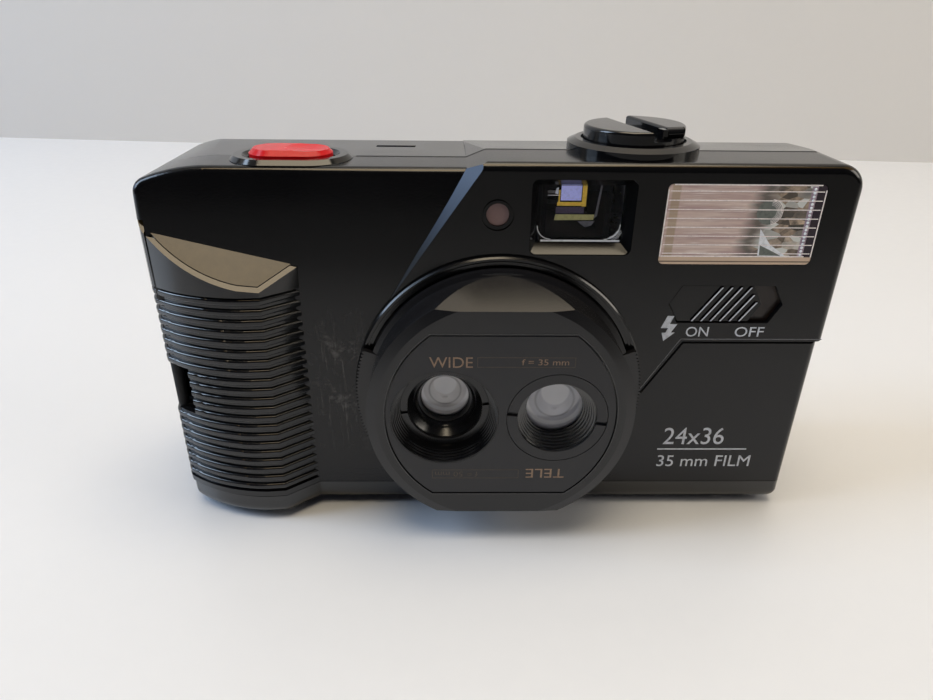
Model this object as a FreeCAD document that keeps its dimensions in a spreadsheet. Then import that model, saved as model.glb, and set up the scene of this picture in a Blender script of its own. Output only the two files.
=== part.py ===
import FreeCAD, Part

# A compact 35 mm film camera with a wide and a tele lens on a turning turret.
# X runs from the hand grip to the flash, Y from front to back, Z up; millimetres.
# The origin is on the table under the middle of the body.

import math
import os

import Sketcher

Vector = FreeCAD.Vector

DIMENSIONS = {
    # casing
    "body_left": -65.25,
    "body_right": 65.15,
    "block_right": 65.75,
    "panel_y": -11.95,
    "panel_top_y": -10.0,
    "lean_start_z": 47.0,
    "block_y": -12.5,
    "seam_y": 0.0,
    "back_y": 22.1,
    "base_z": 1.2,
    "base_seam_z": 6.2,
    "deck_z": 73.9,
    "block_deck_z": 75.4,
    "back_deck_z": 73.25,
    "wall": 2.0,
    "inner_front_y": -10.9,
    # raised block on the flash side
    "block_top_left_x": -1.6,
    "ramp_left_x": -5.25,
    "block_ring_x": -19.6,
    "block_ring_z": 49.7,
    "step_z": 41.05,
    "step_x": 37.3,
    "step_ring_x": 30.5,
    "step_ring_z": 29.2,
    # hand grip
    "grip_left": -65.75,
    "grip_front_y": -17.15,
    "grip_bend_x": -42.95,
    "grip_bend_y": -16.8,
    "grip_edge_x": -36.65,
    "grip_skin": 1.9,
    "rib_first_z": 8.7,
    "rib_pitch": 2.1,
    "rib_depth": 0.6,
    "rib_width": 1.35,
    # turret and its two lenses
    "turret_x": 1.52,
    "turret_z": 30.0,
    "turret_front_y": -23.7,
    "turret_radius": 25.56,
    "turret_flat": 22.21,
    "lens_offset": 10.7,
    "ring_radius": 28.65,
    "spigot_radius": 20.4,
    "running_fit": 0.08,
    # release button
    "button_x": -37.85,
    "button_y": -2.0,
    "button_length": 15.5,
    "button_width": 9.0,
    "bezel_length": 22.7,
    "bezel_width": 15.0,
    # rewind side
    "cassette_x": 26.8,
    "cassette_y": 2.2,
    "cassette_radius": 12.6,
    "dial_radius": 12.5,
    "knob_radius": 9.5,
    # take-up side
    "spool_x": -50.0,
    "spool_y": 4.5,
    "chamber_radius": 10.5,
    "sprocket_x": -34.2,
    "sprocket_y": 12.8,
    "wheel_x": -48.0,
    "wheel_y": 12.6,
    "wheel_radius": 11.1,
    "counter_x": -24.5,
    "counter_y": 11.7,
    # film path
    "film_y": 16.6,
    "chassis_floor": 7.2,
    "chassis_top": 58.3,
    # finder
    "finder_left": 6.35,
    "finder_right": 25.15,
    "finder_low": 58.7,
    "finder_high": 72.6,
    # flash
    "flash_left": 30.45,
    "flash_right": 59.05,
    "flash_low": 57.0,
    "flash_high": 72.1,
    "switch_z": 48.9,
    "switch_left": 33.75,
    "switch_right": 55.85,
    "switch_half_height": 3.9,
    "sensor_x": 0.4,
    "sensor_z": 66.2,
    # batteries
    "cell_x": 54.05,
    "cell_front_y": -2.0,
    "cell_back_y": 12.55,
    "cell_top_z": 57.0,
    "battery_hinge_y": 19.0,
    # film door
    "door_right": 44.5,
    "door_low": 8.2,
    "door_high": 59.4,
    "hinge_x": -63.5,
    "hinge_y": 20.5,
    "tripod_radius": 3.175,
}

doc = FreeCAD.newDocument("camera")
sheet = doc.addObject("Spreadsheet::Sheet", "dims")
for row, (alias, number) in enumerate(DIMENSIONS.items(), start=1):
    sheet.set("A%d" % row, alias)
    sheet.set("B%d" % row, str(number))
    sheet.setAlias("B%d" % row, alias)
doc.recompute()


class Size:
    """A length that knows both its number and the sheet expression that it is bound to."""

    def __init__(self, number, text):
        self.number = number
        self.text = text

    def __add__(self, other):
        other = size(other)
        return Size(self.number + other.number, "(%s + %s)" % (self.text, other.text))

    def __sub__(self, other):
        other = size(other)
        return Size(self.number - other.number, "(%s - %s)" % (self.text, other.text))

    def __mul__(self, factor):
        factor = size(factor)
        return Size(self.number * factor.number, "(%s * %s)" % (self.text, factor.text))

    def __radd__(self, other):
        return size(other) + self

    def __rsub__(self, other):
        return size(other) - self

    def __neg__(self):
        return Size(-self.number, "(0 - %s)" % self.text)


def size(value):
    if isinstance(value, Size):
        return value
    return Size(float(value), "(%s)" % repr(float(value)))


class Dims:
    """The sheet's cells as Size values: D.wall is bound to dims.wall."""

    def __getattr__(self, alias):
        return Size(DIMENSIONS[alias], "dims." + alias)


D = Dims()


def bind(thing, prop, value):
    thing.setExpression(prop, size(value).text)


def place(thing, spot, direction=Vector(0, 0, 1)):
    rotation = FreeCAD.Rotation(Vector(0, 0, 1), direction)
    base = Vector(*[size(value).number for value in spot])
    thing.Placement = FreeCAD.Placement(base, rotation)
    for axis, value in zip("xyz", spot):
        bind(thing, "Placement.Base." + axis, value)


UP = Vector(0, 0, 1)
BACK = Vector(0, 1, 0)
RIGHT = Vector(1, 0, 0)

counter = {}
nodes = {}


def fresh(kind):
    """A document name that is not used yet, such as box7."""
    counter[kind] = counter.get(kind, 0) + 1
    return "%s%d" % (kind, counter[kind])


def box(low, high):
    solid = doc.addObject("Part::Box", fresh("box"))
    for prop, start, end in zip(("Length", "Width", "Height"), low, high):
        bind(solid, prop, size(end) - start)
    place(solid, low)
    return solid


def rod(start, radius, length, direction=UP):
    solid = doc.addObject("Part::Cylinder", fresh("rod"))
    bind(solid, "Radius", radius)
    bind(solid, "Height", length)
    place(solid, start, direction)
    return solid


def fuse(*solids):
    joined = doc.addObject("Part::MultiFuse", fresh("fuse"))
    joined.Shapes = list(solids)
    joined.Refine = True
    return joined


def common(*solids):
    shared = doc.addObject("Part::MultiCommon", fresh("common"))
    shared.Shapes = list(solids)
    shared.Refine = True
    return shared


def cut(base, *tools):
    result = doc.addObject("Part::Cut", fresh("cut"))
    result.Base = base
    result.Tool = tools[0] if len(tools) == 1 else fuse(*tools)
    result.Refine = True
    return result


def round_edges(base, radius, wanted):
    """Rounds the edges of base for which wanted(edge) is true."""
    doc.recompute()
    picked = [n for n, edge in enumerate(base.Shape.Edges, start=1) if wanted(edge)]
    rounded = doc.addObject("Part::Fillet", fresh("round"))
    rounded.Base = base
    rounded.Edges = [(n, size(radius).number, size(radius).number) for n in picked]
    return rounded


def bevel_edges(base, depth, wanted):
    doc.recompute()
    picked = [n for n, edge in enumerate(base.Shape.Edges, start=1) if wanted(edge)]
    bevelled = doc.addObject("Part::Chamfer", fresh("bevel"))
    bevelled.Base = base
    bevelled.Edges = [(n, size(depth).number, size(depth).number) for n in picked]
    return bevelled


def lies_at(axis, value, tolerance=0.02):
    """Picks edges whose whole length has one coordinate at value."""

    def wanted(edge):
        bound = edge.BoundBox
        low = getattr(bound, axis.upper() + "Min")
        high = getattr(bound, axis.upper() + "Max")
        number = size(value).number
        return abs(low - number) < tolerance and abs(high - number) < tolerance

    return wanted


def outline(body, plane, corners):
    """A closed sketch on one of the body's own planes, every corner bound to the sheet.

    A corner is (across, up), or (across, up, bulge) where the side that leaves it is an
    arc: bulge is its rise over half its chord, and a positive bulge lies to the right.
    """
    sketch = body.newObject("Sketcher::SketchObject", fresh("sketch"))
    base = [f for f in body.Origin.OriginFeatures if f.Role == plane][0]
    sketch.AttachmentSupport = [(base, "")]
    sketch.MapMode = "FlatFace"
    spots = [Vector(size(c[0]).number, size(c[1]).number, 0) for c in corners]
    first_ends = []
    for n, corner in enumerate(corners):
        start = spots[n]
        end = spots[(n + 1) % len(spots)]
        bulge = corner[2] if len(corner) > 2 else 0
        if bulge:
            chord = end - start
            side = Vector(chord.y, -chord.x, 0)
            middle = (start + end) * 0.5 + side * (bulge * 0.5)
            ends = (start, end) if bulge > 0 else (end, start)
            sketch.addGeometry(Part.Arc(ends[0], middle, ends[1]), False)
        else:
            sketch.addGeometry(Part.LineSegment(start, end), False)
        first_ends.append(2 if bulge < 0 else 1)
    for n in range(len(corners)):
        after = (n + 1) % len(corners)
        joint = Sketcher.Constraint("Coincident", n, 3 - first_ends[n], after, first_ends[after])
        sketch.addConstraint(joint)
    for n, corner in enumerate(corners):
        for kind, value, other_axis in (("DistanceX", corner[0], -2), ("DistanceY", corner[1], -1)):
            value = size(value)
            if abs(value.number) < 1e-9:
                fixed = Sketcher.Constraint("PointOnObject", n, first_ends[n], other_axis)
                sketch.addConstraint(fixed)
            else:
                held = Sketcher.Constraint(kind, -1, 1, n, first_ends[n], value.number)
                index = sketch.addConstraint(held)
                sketch.setExpression("Constraints[%d]" % index, value.text)
        if len(corner) > 2 and corner[2]:
            hold_centre(sketch, n, spots[n], spots[(n + 1) % len(spots)])
    return sketch


def hold_centre(sketch, arc, start, end):
    """Fixes an arc whose ends are held, by its centre's place along X or Y."""
    chord = end - start
    upright = abs(chord.y) > abs(chord.x)
    centre = sketch.Geometry[arc].Center
    place_on_axis = centre.x if upright else centre.y
    if abs(place_on_axis) < 1e-9:
        sketch.addConstraint(Sketcher.Constraint("PointOnObject", arc, 3, -2 if upright else -1))
    else:
        kind = "DistanceX" if upright else "DistanceY"
        sketch.addConstraint(Sketcher.Constraint(kind, -1, 1, arc, 3, place_on_axis))


def prism(plane, corners, start, end):
    """A padded outline: plane XY pads along Z, XZ along Y and YZ along X, from start to end."""
    body = doc.addObject("PartDesign::Body", fresh("prism"))
    sketch = outline(body, plane + "_Plane", corners)
    toward_minus = plane == "XZ"
    bind(sketch, ".AttachmentOffset.Base.z", -size(start) if toward_minus else start)
    pad = body.newObject("PartDesign::Pad", fresh("pad"))
    pad.Profile = sketch
    bind(pad, "Length", size(end) - start)
    pad.Reversed = toward_minus
    return body


def turned(spot, direction, profile):
    """A lathe-turned body: profile lists (radius, height) corners along its axis."""
    body = doc.addObject("PartDesign::Body", fresh("turned"))
    sketch = outline(body, "XZ_Plane", profile)
    revolution = body.newObject("PartDesign::Revolution", fresh("revolution"))
    revolution.Profile = sketch
    revolution.ReferenceAxis = (sketch, ["V_Axis"])
    revolution.Angle = 360
    place(body, spot, direction)
    return body


def tube(spot, direction, outer, inner, length):
    return turned(spot, direction, [(inner, 0), (outer, 0), (outer, length), (inner, length)])


def stadium(centre_x, centre_y, length, width, low, high):
    """A slab with straight sides and two half-round ends, long along X."""
    half = (size(length) - width) * 0.5
    radius = size(width) * 0.5
    corners = [
        (centre_x - half, centre_y - radius),
        (centre_x + half, centre_y - radius, 1),
        (centre_x + half, centre_y + radius),
        (centre_x - half, centre_y + radius, 1),
    ]
    return prism("XY", corners, low, high)


def shaped(shape):
    """A plain feature for a form that neither sketches nor primitives fit."""
    feature = doc.addObject("Part::Feature", fresh("form"))
    feature.Shape = shape
    return feature


def node(name, solid):
    solid.Label = name
    nodes[name] = solid
    return solid


# ---------------------------------------------------------------- casing


def left_form():
    """The grip side: a front that leans back at the top and a deck that falls to the end."""
    side_view = [
        (D.panel_y, D.base_seam_z),
        (D.panel_y, D.lean_start_z, -0.036),
        (D.panel_top_y, D.deck_z),
        (D.seam_y, D.deck_z),
        (D.back_y, D.back_deck_z),
        (D.back_y, D.base_seam_z),
    ]
    length = prism("YZ", side_view, D.body_left, 10)
    fall_radius = 34.0
    corner_radius = 3.0
    reach = 14.0
    centre_apart = fall_radius - corner_radius
    fall_turn = math.asin((reach - corner_radius) / centre_apart)
    shoulder = [
        (D.body_left, D.base_seam_z),
        (10, D.base_seam_z),
        (10, 80),
        (D.body_left + reach, 80),
        (D.body_left + reach, D.deck_z, math.tan(fall_turn / 4)),
        (
            D.body_left + reach - fall_radius * math.sin(fall_turn),
            D.deck_z - fall_radius * (1 - math.cos(fall_turn)),
            math.tan((math.pi / 2 - fall_turn) / 4),
        ),
        (D.body_left, D.deck_z - fall_radius + centre_apart * math.cos(fall_turn)),
    ]
    blank = common(length, prism("XZ", shoulder, -30, 30))
    return round_edges(blank, 1.5, is_top_front_edge)


def is_top_front_edge(edge):
    bound = edge.BoundBox
    return bound.YMax < -9.0 and bound.ZMin > 60


def block_form():
    """The raised block that carries finder and flash, with its slanted left facet."""
    corner = 4.5
    face = [
        (D.block_ring_x, D.block_ring_z),
        (D.step_ring_x, D.step_ring_z),
        (D.step_x, D.step_z),
        (D.block_right, D.step_z),
        (D.block_right, D.block_deck_z - corner, 0.4142),
        (D.block_right - corner, D.block_deck_z),
        (D.block_top_left_x, D.block_deck_z),
        (D.ramp_left_x, D.deck_z),
    ]
    blank = prism("XZ", face, D.block_y, D.back_y)
    front_rounded = round_edges(blank, 1.6, is_block_front_edge)
    fall = [
        (D.seam_y, D.block_deck_z),
        (D.back_y + 2, D.back_deck_z - 0.2),
        (D.back_y + 2, 80),
        (D.seam_y, 80),
    ]
    lowered = cut(front_rounded, prism("YZ", fall, -30, 70))
    facet = [
        (D.block_ring_x, D.block_ring_z),
        (D.block_top_left_x, D.block_deck_z),
        (D.block_top_left_x, 90),
        (-60, 90),
        (-60, D.block_ring_z),
    ]
    body = doc.addObject("PartDesign::Body", fresh("facet"))
    sketch = outline(body, "XZ_Plane", facet)
    bind(sketch, ".AttachmentOffset.Base.z", -D.block_y)
    slant = doc.addObject("Part::Extrusion", fresh("slant"))
    slant.Base = sketch
    slant.Dir = Vector(-3.65, 2.5, -1.5)
    slant.LengthFwd = 6
    slant.Solid = True
    return cut(lowered, slant)


def is_block_front_edge(edge):
    bound = edge.BoundBox
    right_side = bound.XMin > 60 and bound.ZMin > 40
    top = bound.ZMin > 75 and bound.XMin > -2
    return bound.YMax < -12.4 and (right_side or top)


def lower_form():
    """The flash side below the step."""
    blank = box((-20, D.panel_y, D.base_seam_z), (D.body_right, D.back_y, D.lean_start_z))
    return round_edges(blank, 1.6, is_right_upright)


def is_right_upright(edge):
    bound = edge.BoundBox
    return bound.XMin > 65 and bound.ZMax - bound.ZMin > 30


def casing_form():
    """All three forms together, with the upright corners and the back edge of the deck rounded."""
    corner = 2.5
    bulge = math.tan(math.radians(90) / 4)
    plan = [
        (D.body_left + corner, -30),
        (70, -30),
        (70, -5),
        (D.block_right, -5),
        (D.block_right, D.back_y - corner, bulge),
        (D.block_right - corner, D.back_y),
        (D.body_left + corner, D.back_y, bulge),
        (D.body_left, D.back_y - corner),
        (D.body_left, D.panel_y + corner, bulge),
        (D.body_left + corner, D.panel_y),
    ]
    side = [
        (-30, 0),
        (D.back_y, 0),
        (D.back_y, D.back_deck_z - corner, math.tan(math.radians(84) / 4)),
        (D.back_y - corner, D.back_deck_z + 0.08),
        (D.back_y - corner, 90),
        (-30, 90),
    ]
    joined = fuse(left_form(), block_form(), lower_form())
    return common(joined, prism("XY", plan, 0, 90), prism("YZ", side, -70, 70))


def cavity():
    """The hollow inside both shells."""
    left = D.body_left + D.wall
    right = D.body_right - D.wall
    behind = D.back_y - D.wall
    ceiling = D.back_deck_z - 2
    return fuse(
        box((left, D.inner_front_y, 5), (right, behind, D.lean_start_z)),
        box((left, D.panel_top_y + 2.3, 40), (10, behind, 66)),
        box((left + 7, D.panel_top_y + 2.3, 60), (10, behind, ceiling)),
        box((2, D.inner_front_y, 40), (right, behind, ceiling)),
        box((2, D.inner_front_y, 60), (right, D.seam_y + 1, D.block_deck_z - 2)),
    )


def top_holes():
    """Holes through the deck for the release button, the rewind dial and the counter."""
    return [
        stadium(D.button_x, D.button_y, D.bezel_length - 2, D.bezel_width - 2, 66, 80),
        rod((D.cassette_x, D.cassette_y, 72.9), D.dial_radius + 0.05, 8),
        rod((D.cassette_x, D.cassette_y, 66), 2.62, 8),
        box((-23.45, 11.0, 66), (-15.45, 12.9, 80)),
    ]


def grip_front(left):
    """Corners of the grip's front seen from above, from its left side to the flat panel."""
    return [
        (left, -7.6, 0.16),
        (left + 1.33, -11.25, 0.163),
        (-46.75, D.grip_front_y),
        (D.grip_bend_x, D.grip_bend_y),
        (D.grip_edge_x, D.panel_y),
    ]


def grip_wire(offset):
    """The grip's outline from above, closed behind the front panel, moved outward by offset."""
    closing = [(D.grip_edge_x + 6, D.panel_y), (D.grip_edge_x + 6, 8), (D.grip_left, 8)]
    corners = grip_front(D.grip_left) + closing
    spots = [Vector(size(c[0]).number, size(c[1]).number, 0) for c in corners]
    edges = []
    for n, corner in enumerate(corners):
        start = spots[n]
        end = spots[(n + 1) % len(spots)]
        if len(corner) > 2:
            chord = end - start
            middle = (start + end) * 0.5 + Vector(chord.y, -chord.x, 0) * (corner[2] * 0.5)
            edges.append(Part.Arc(start, middle, end).toShape())
        else:
            edges.append(Part.LineSegment(start, end).toShape())
    wire = Part.Wire(edges)
    return wire.makeOffset2D(offset) if offset else wire


def grip_prism(offset, low, high):
    wire = grip_wire(offset)
    wire.translate(Vector(0, 0, low))
    return Part.Face(wire).extrude(Vector(0, 0, high - low))


def facet_slab():
    """Everything above the sloping facet that ends the grip at the top."""
    normal = Vector(0.154, -0.686, 0.711)
    through = Vector(-36.8, -10.5, 57.4)
    slab = Part.makeBox(160, 160, 60, Vector(-80, -80, 0))
    slab.Placement = FreeCAD.Placement(through, FreeCAD.Rotation(Vector(0, 0, 1), normal))
    return slab


def grip_cover():
    """The ribbed grip moulding, a skin clipped to the front cover and its left side."""
    base = DIMENSIONS["base_seam_z"] + 0.06
    depth = DIMENSIONS["rib_depth"]
    first = DIMENSIONS["rib_first_z"]
    pitch = DIMENSIONS["rib_pitch"]
    width = DIMENSIONS["rib_width"]
    ribs_top = first + 20.5 * pitch
    core = grip_prism(-depth, base, ribs_top + 0.4)
    smooth = grip_prism(0, ribs_top, GRIP_TOP)
    foot = grip_prism(0, base, first - 1.2)
    solid = core.fuse([smooth, foot])
    rib = grip_prism(0, -width / 2, width / 2)
    rims = [e for e in rib.Edges if e.BoundBox.ZLength < 0.01 and e.BoundBox.YMin < -0.3]
    rib = rib.makeFillet(0.45, rims)
    ribs = []
    for n in range(21):
        ribs.append(rib.copy())
        ribs[-1].translate(Vector(0, 0, first + n * pitch))
    hollow = grip_prism(-DIMENSIONS["grip_skin"], base - 1, 49.5)
    plug_room = grip_prism(-0.75, 49.4, 75)
    behind_corner = Part.makeBox(60, 30, 80, Vector(-63.8, DIMENSIONS["panel_y"] - 0.05, CORNER_TOP - 0.1))
    behind_panel = Part.makeBox(60, 30, 80, Vector(CORNER_X - 0.1, DIMENSIONS["panel_y"] - 0.05, 0))
    behind_seam = Part.makeBox(60, 30, 80, Vector(-70, DIMENSIONS["seam_y"] - 0.15, 0))
    beside = Part.makeBox(30, 60, 80, Vector(DIMENSIONS["grip_edge_x"], -40, 0))
    lug_slot = Part.makeBox(7.1, 8.8, 10.5, Vector(-67, -16, 24.5))
    lug_seat = Part.makeBox(5, 7.2, 13.0, Vector(-63.85, -10.1, 23.3))
    rooms = [hollow, plug_room, lug_slot, lug_seat]
    limits = [behind_corner, behind_panel, behind_seam, beside, facet_slab()]
    return shaped(solid.fuse(ribs).cut(rooms + limits).removeSplitter())


GRIP_TOP = 64.4
# The grip skin wraps round the front cover's corner up to here.
CORNER_X = -60.6
CORNER_TOP = 49.2


def shoulder_plug():
    """The front cover's own sloping facet, which fills the top of the grip moulding."""
    beside = Part.makeBox(30, 60, 80, Vector(DIMENSIONS["grip_edge_x"] - 0.4, -40, 0))
    behind = Part.makeBox(60, 30, 80, Vector(-70, DIMENSIONS["panel_y"] + 0.6, 0))
    plug = grip_prism(-0.9, 51.0, 75).cut([facet_slab(), beside, behind])
    return shaped(plug)


def turret_room():
    return rod((D.turret_x, -20, D.turret_z), D.ring_radius + 0.06, size(20) + D.panel_y, BACK)


def switch_slot(depth_from, depth_to, inset=0):
    """The six-sided slot of the flash switch."""
    left = D.switch_left + inset
    right = D.switch_right - inset
    high = D.switch_z + D.switch_half_height - inset
    low = D.switch_z - D.switch_half_height + inset
    middle = D.switch_z
    corners = [
        (left, middle),
        (left + 2.1, low),
        (right - 2.1, low),
        (right, middle),
        (right - 2.1, high),
        (left + 2.1, high),
    ]
    return prism("XZ", corners, depth_from, depth_to)


def front_cover(form, hollow):
    half = box((-70, -30, D.base_seam_z + 0.06), (70, D.seam_y - 0.06, 80))
    grip_seat = box((-70, -30, 5), (-63.74, D.seam_y - 0.04, GRIP_TOP + 0.06))
    corner_seat = box((-70, -30, 5), (CORNER_X, -8.2, CORNER_TOP))
    shell = cut(common(form, half), hollow, grip_seat, corner_seat)
    body = fuse(shell, shoulder_plug())
    finder = box((D.finder_left, -14, D.finder_low), (D.finder_right, -10, D.finder_high))
    window = box((D.flash_left, -14, D.flash_low), (D.flash_right, -10, D.flash_high))
    openings = [
        turret_room(),
        rod((D.turret_x, -20, D.turret_z), 23.1, 12, BACK),
        round_edges(finder, 1.2, runs_along_y),
        round_edges(window, 1.0, runs_along_y),
        rod((D.sensor_x, -14, D.sensor_z), 2.1, 5, BACK),
        tube((D.sensor_x, -12.6, D.sensor_z), BACK, 2.95, 2.65, 0.5),
        switch_slot(-14, -9),
        switch_backing(0, -11.25, -10.5),
        rod((D.sensor_x, -10.8, D.sensor_z), 2.7, 5, BACK),
        box((-66, -10.1, 23.3), (-60, -2.9, 36.3)),
        *step_groove(),
    ]
    node("front_cover", cut(body, *openings, *top_holes()))


def step_groove():
    """A fine groove with sloping sides that follows the block's lower edge."""
    turn = Vector(DIMENSIONS["step_x"], DIMENSIONS["panel_y"], DIMENSIONS["step_z"])
    ring = Vector(DIMENSIONS["step_ring_x"], DIMENSIONS["panel_y"], DIMENSIONS["step_ring_z"])
    right = Vector(DIMENSIONS["block_right"] + 1, DIMENSIONS["panel_y"], DIMENSIONS["step_z"])
    lower_turn = turn + Vector(0.4, 0, 0)
    return [shaped(groove_run(ring, lower_turn)), shaped(groove_run(turn, right))]


def groove_run(start, end):
    """One straight run: 0.7 mm wide at the surface and 0.3 mm at its floor, 0.25 mm deep."""
    along = (end - start).normalize()
    below = Vector(along.z, 0, -along.x)
    inward = Vector(0, 0.25, 0)
    lip = Vector(0, -0.1, 0)
    corners = [
        start + below * -0.05 + lip,
        start + below * -0.05 + inward,
        start + below * 0.45 + inward,
        start + below * 0.78,
        start + below * 0.9 + lip,
    ]
    profile = Part.Face(Part.makePolygon(corners + [corners[0]]))
    return profile.extrude(end - start)


def runs_along_y(edge):
    bound = edge.BoundBox
    return bound.YMax - bound.YMin > 0.5 and bound.XMax - bound.XMin < 0.01 and bound.ZMax - bound.ZMin < 0.01


def rear_body(form, hollow):
    half = box((-70, D.seam_y + 0.06, D.base_seam_z + 0.06), (70, 30, 80))
    shell = cut(common(form, half), hollow)
    door_room = box((-70, 18.3, D.door_low - 0.2), (D.door_right + 0.2, 30, D.door_high + 0.2))
    wheel_slot = box((-57.6, 18, 61.3), (-38.4, 30, 66.3))
    eyepiece = box((10.0, 18, 61.6), (21.5, 30, 70.2))
    lugs = [
        fuse(
            rod((D.hinge_x, D.hinge_y, low), 1.55, 7.0),
            box((D.body_left, 17.5, low), (D.body_left + 1.9, D.hinge_y, size(low) + 7.0)),
        )
        for low in (8.4, 52.2)
    ]
    bored = cut(
        fuse(cut(shell, door_room, wheel_slot, eyepiece), *lugs),
        rod((D.hinge_x, D.hinge_y, 5), 0.75, 60),
        *top_holes(),
    )
    node("rear_body", bored)


def base_cover():
    """The bottom cover, which follows the grip and is well rounded underneath."""
    high = D.base_seam_z - 0.06
    quarter = math.tan(math.radians(90) / 4)
    corner = 2.5
    plan = grip_front(D.body_left) + [
        (D.body_right - 1.6, D.panel_y, quarter),
        (D.body_right, D.panel_y + 1.6),
        (D.body_right, D.back_y - corner, quarter),
        (D.body_right - corner, D.back_y),
        (D.body_left + corner, D.back_y, quarter),
        (D.body_left, D.back_y - corner),
    ]
    rounded = round_edges(prism("XY", plan, D.base_z, high), 2.4, lies_at("z", D.base_z))
    left = D.body_left + D.wall
    inside = box((left, D.inner_front_y, D.base_z + 1.6), (D.body_right - D.wall, 20.1, 9))
    openings = [
        turret_room(),
        box((46.2, -9.5, 0), (61.9, 20.1, 9)),
        rod((D.turret_x, 5, 0), 4.4, 9),
        rod((-24, 6, 0), 2.1, 9),
    ]
    for x, y in SCREW_SPOTS:
        openings.append(rod((x, y, 0), 2.1, D.base_z + 0.62))
        openings.append(rod((x, y, 0), 0.98, 9))
    boss = tube((D.turret_x, 5, D.base_z), UP, 6.2, 4.4, 5.6)
    node("base_cover", fuse(cut(rounded, inside, *openings), boss))
    bush = cut(
        rod((D.turret_x, 5, D.base_z + 0.1), 4.38, 5.4),
        rod((D.turret_x, 5, D.base_z - 1), D.tripod_radius, 5.4),
    )
    node("tripod_bush", bush)


SCREW_SPOTS = ((-57.5, 5.0), (-12.0, 17.5), (40.0, -6.5))


def battery_door():
    """The floor of the battery chamber, hinged at its back edge, with two moulded feet."""
    thick = 1.5
    plate = box((46.4, -9.2, D.base_z), (61.7, D.battery_hinge_y, D.base_z + thick))
    knuckle = rod((46.4, D.battery_hinge_y, D.base_z + thick / 2), thick / 2, 15.3, RIGHT)
    contact = box((48.5, -7.0, D.base_z + 1.4), (59.6, 16.8, D.base_z + 1.9))
    node("battery_door", fuse(plate, knuckle, contact, foot(54.05, -6.4), foot(54.05, 16.6)))


def foot(x, y):
    profile = [(0, 0), (1.3, 0, 0.2), (1.7, 0.6), (1.7, D.base_z), (0, D.base_z)]
    return turned((x, y, 0), UP, profile)


def feet():
    node("feet", fuse(foot(-49.0, -12.4), foot(-54.0, 17.2), foot(-24.0, 17.2)))


def film_door():
    plate = box((D.hinge_x, 20.3, D.door_low), (D.door_right, D.back_y, D.door_high))
    knuckle = rod((D.hinge_x, D.hinge_y, 15.8), 1.55, 36.0)
    rail_low = box((-54, 18.2, D.door_low + 0.8), (38, 20.4, D.door_low + 2.0))
    rail_high = box((-54, 18.2, D.door_high - 2.0), (38, 20.4, D.door_high - 0.8))
    guides = [
        rod((x, 17.9, D.turret_z), 1.2, 2.6, BACK)
        for x in (-9.18 - 14, -9.18 + 14)
    ]
    bored = cut(
        fuse(plate, knuckle, rail_low, rail_high, *guides),
        rod((D.hinge_x, D.hinge_y, 5), 0.75, 60),
        box((-66, 18, 5), (-61.4, 30, 15.7)),
        box((-66, 18, 51.9), (-61.4, 30, 61)),
    )
    node("film_door", bored)
    node("door_hinge_pin", rod((D.hinge_x, D.hinge_y, 8.6), 0.72, 50.4))
    plate_body = box((-29.4, D.film_y + 0.2, 14.5), (14.2, D.film_y + 1.0, 45.5))
    sockets = [rod((x, 15, D.turret_z), 1.4, 5, BACK) for x in (-9.18 - 14, -9.18 + 14)]
    node("pressure_plate", cut(plate_body, *sockets))
    leaf = [
        (-9.18 - 12, 18.2),
        (-9.18, 19.3),
        (-9.18 + 12, 18.2),
        (-9.18 + 12, 18.5),
        (-9.18, 20.25),
        (-9.18 - 12, 18.5),
    ]
    node("pressure_spring", prism("XY", leaf, 27, 33))


# ---------------------------------------------------------------- chassis and film path


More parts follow.
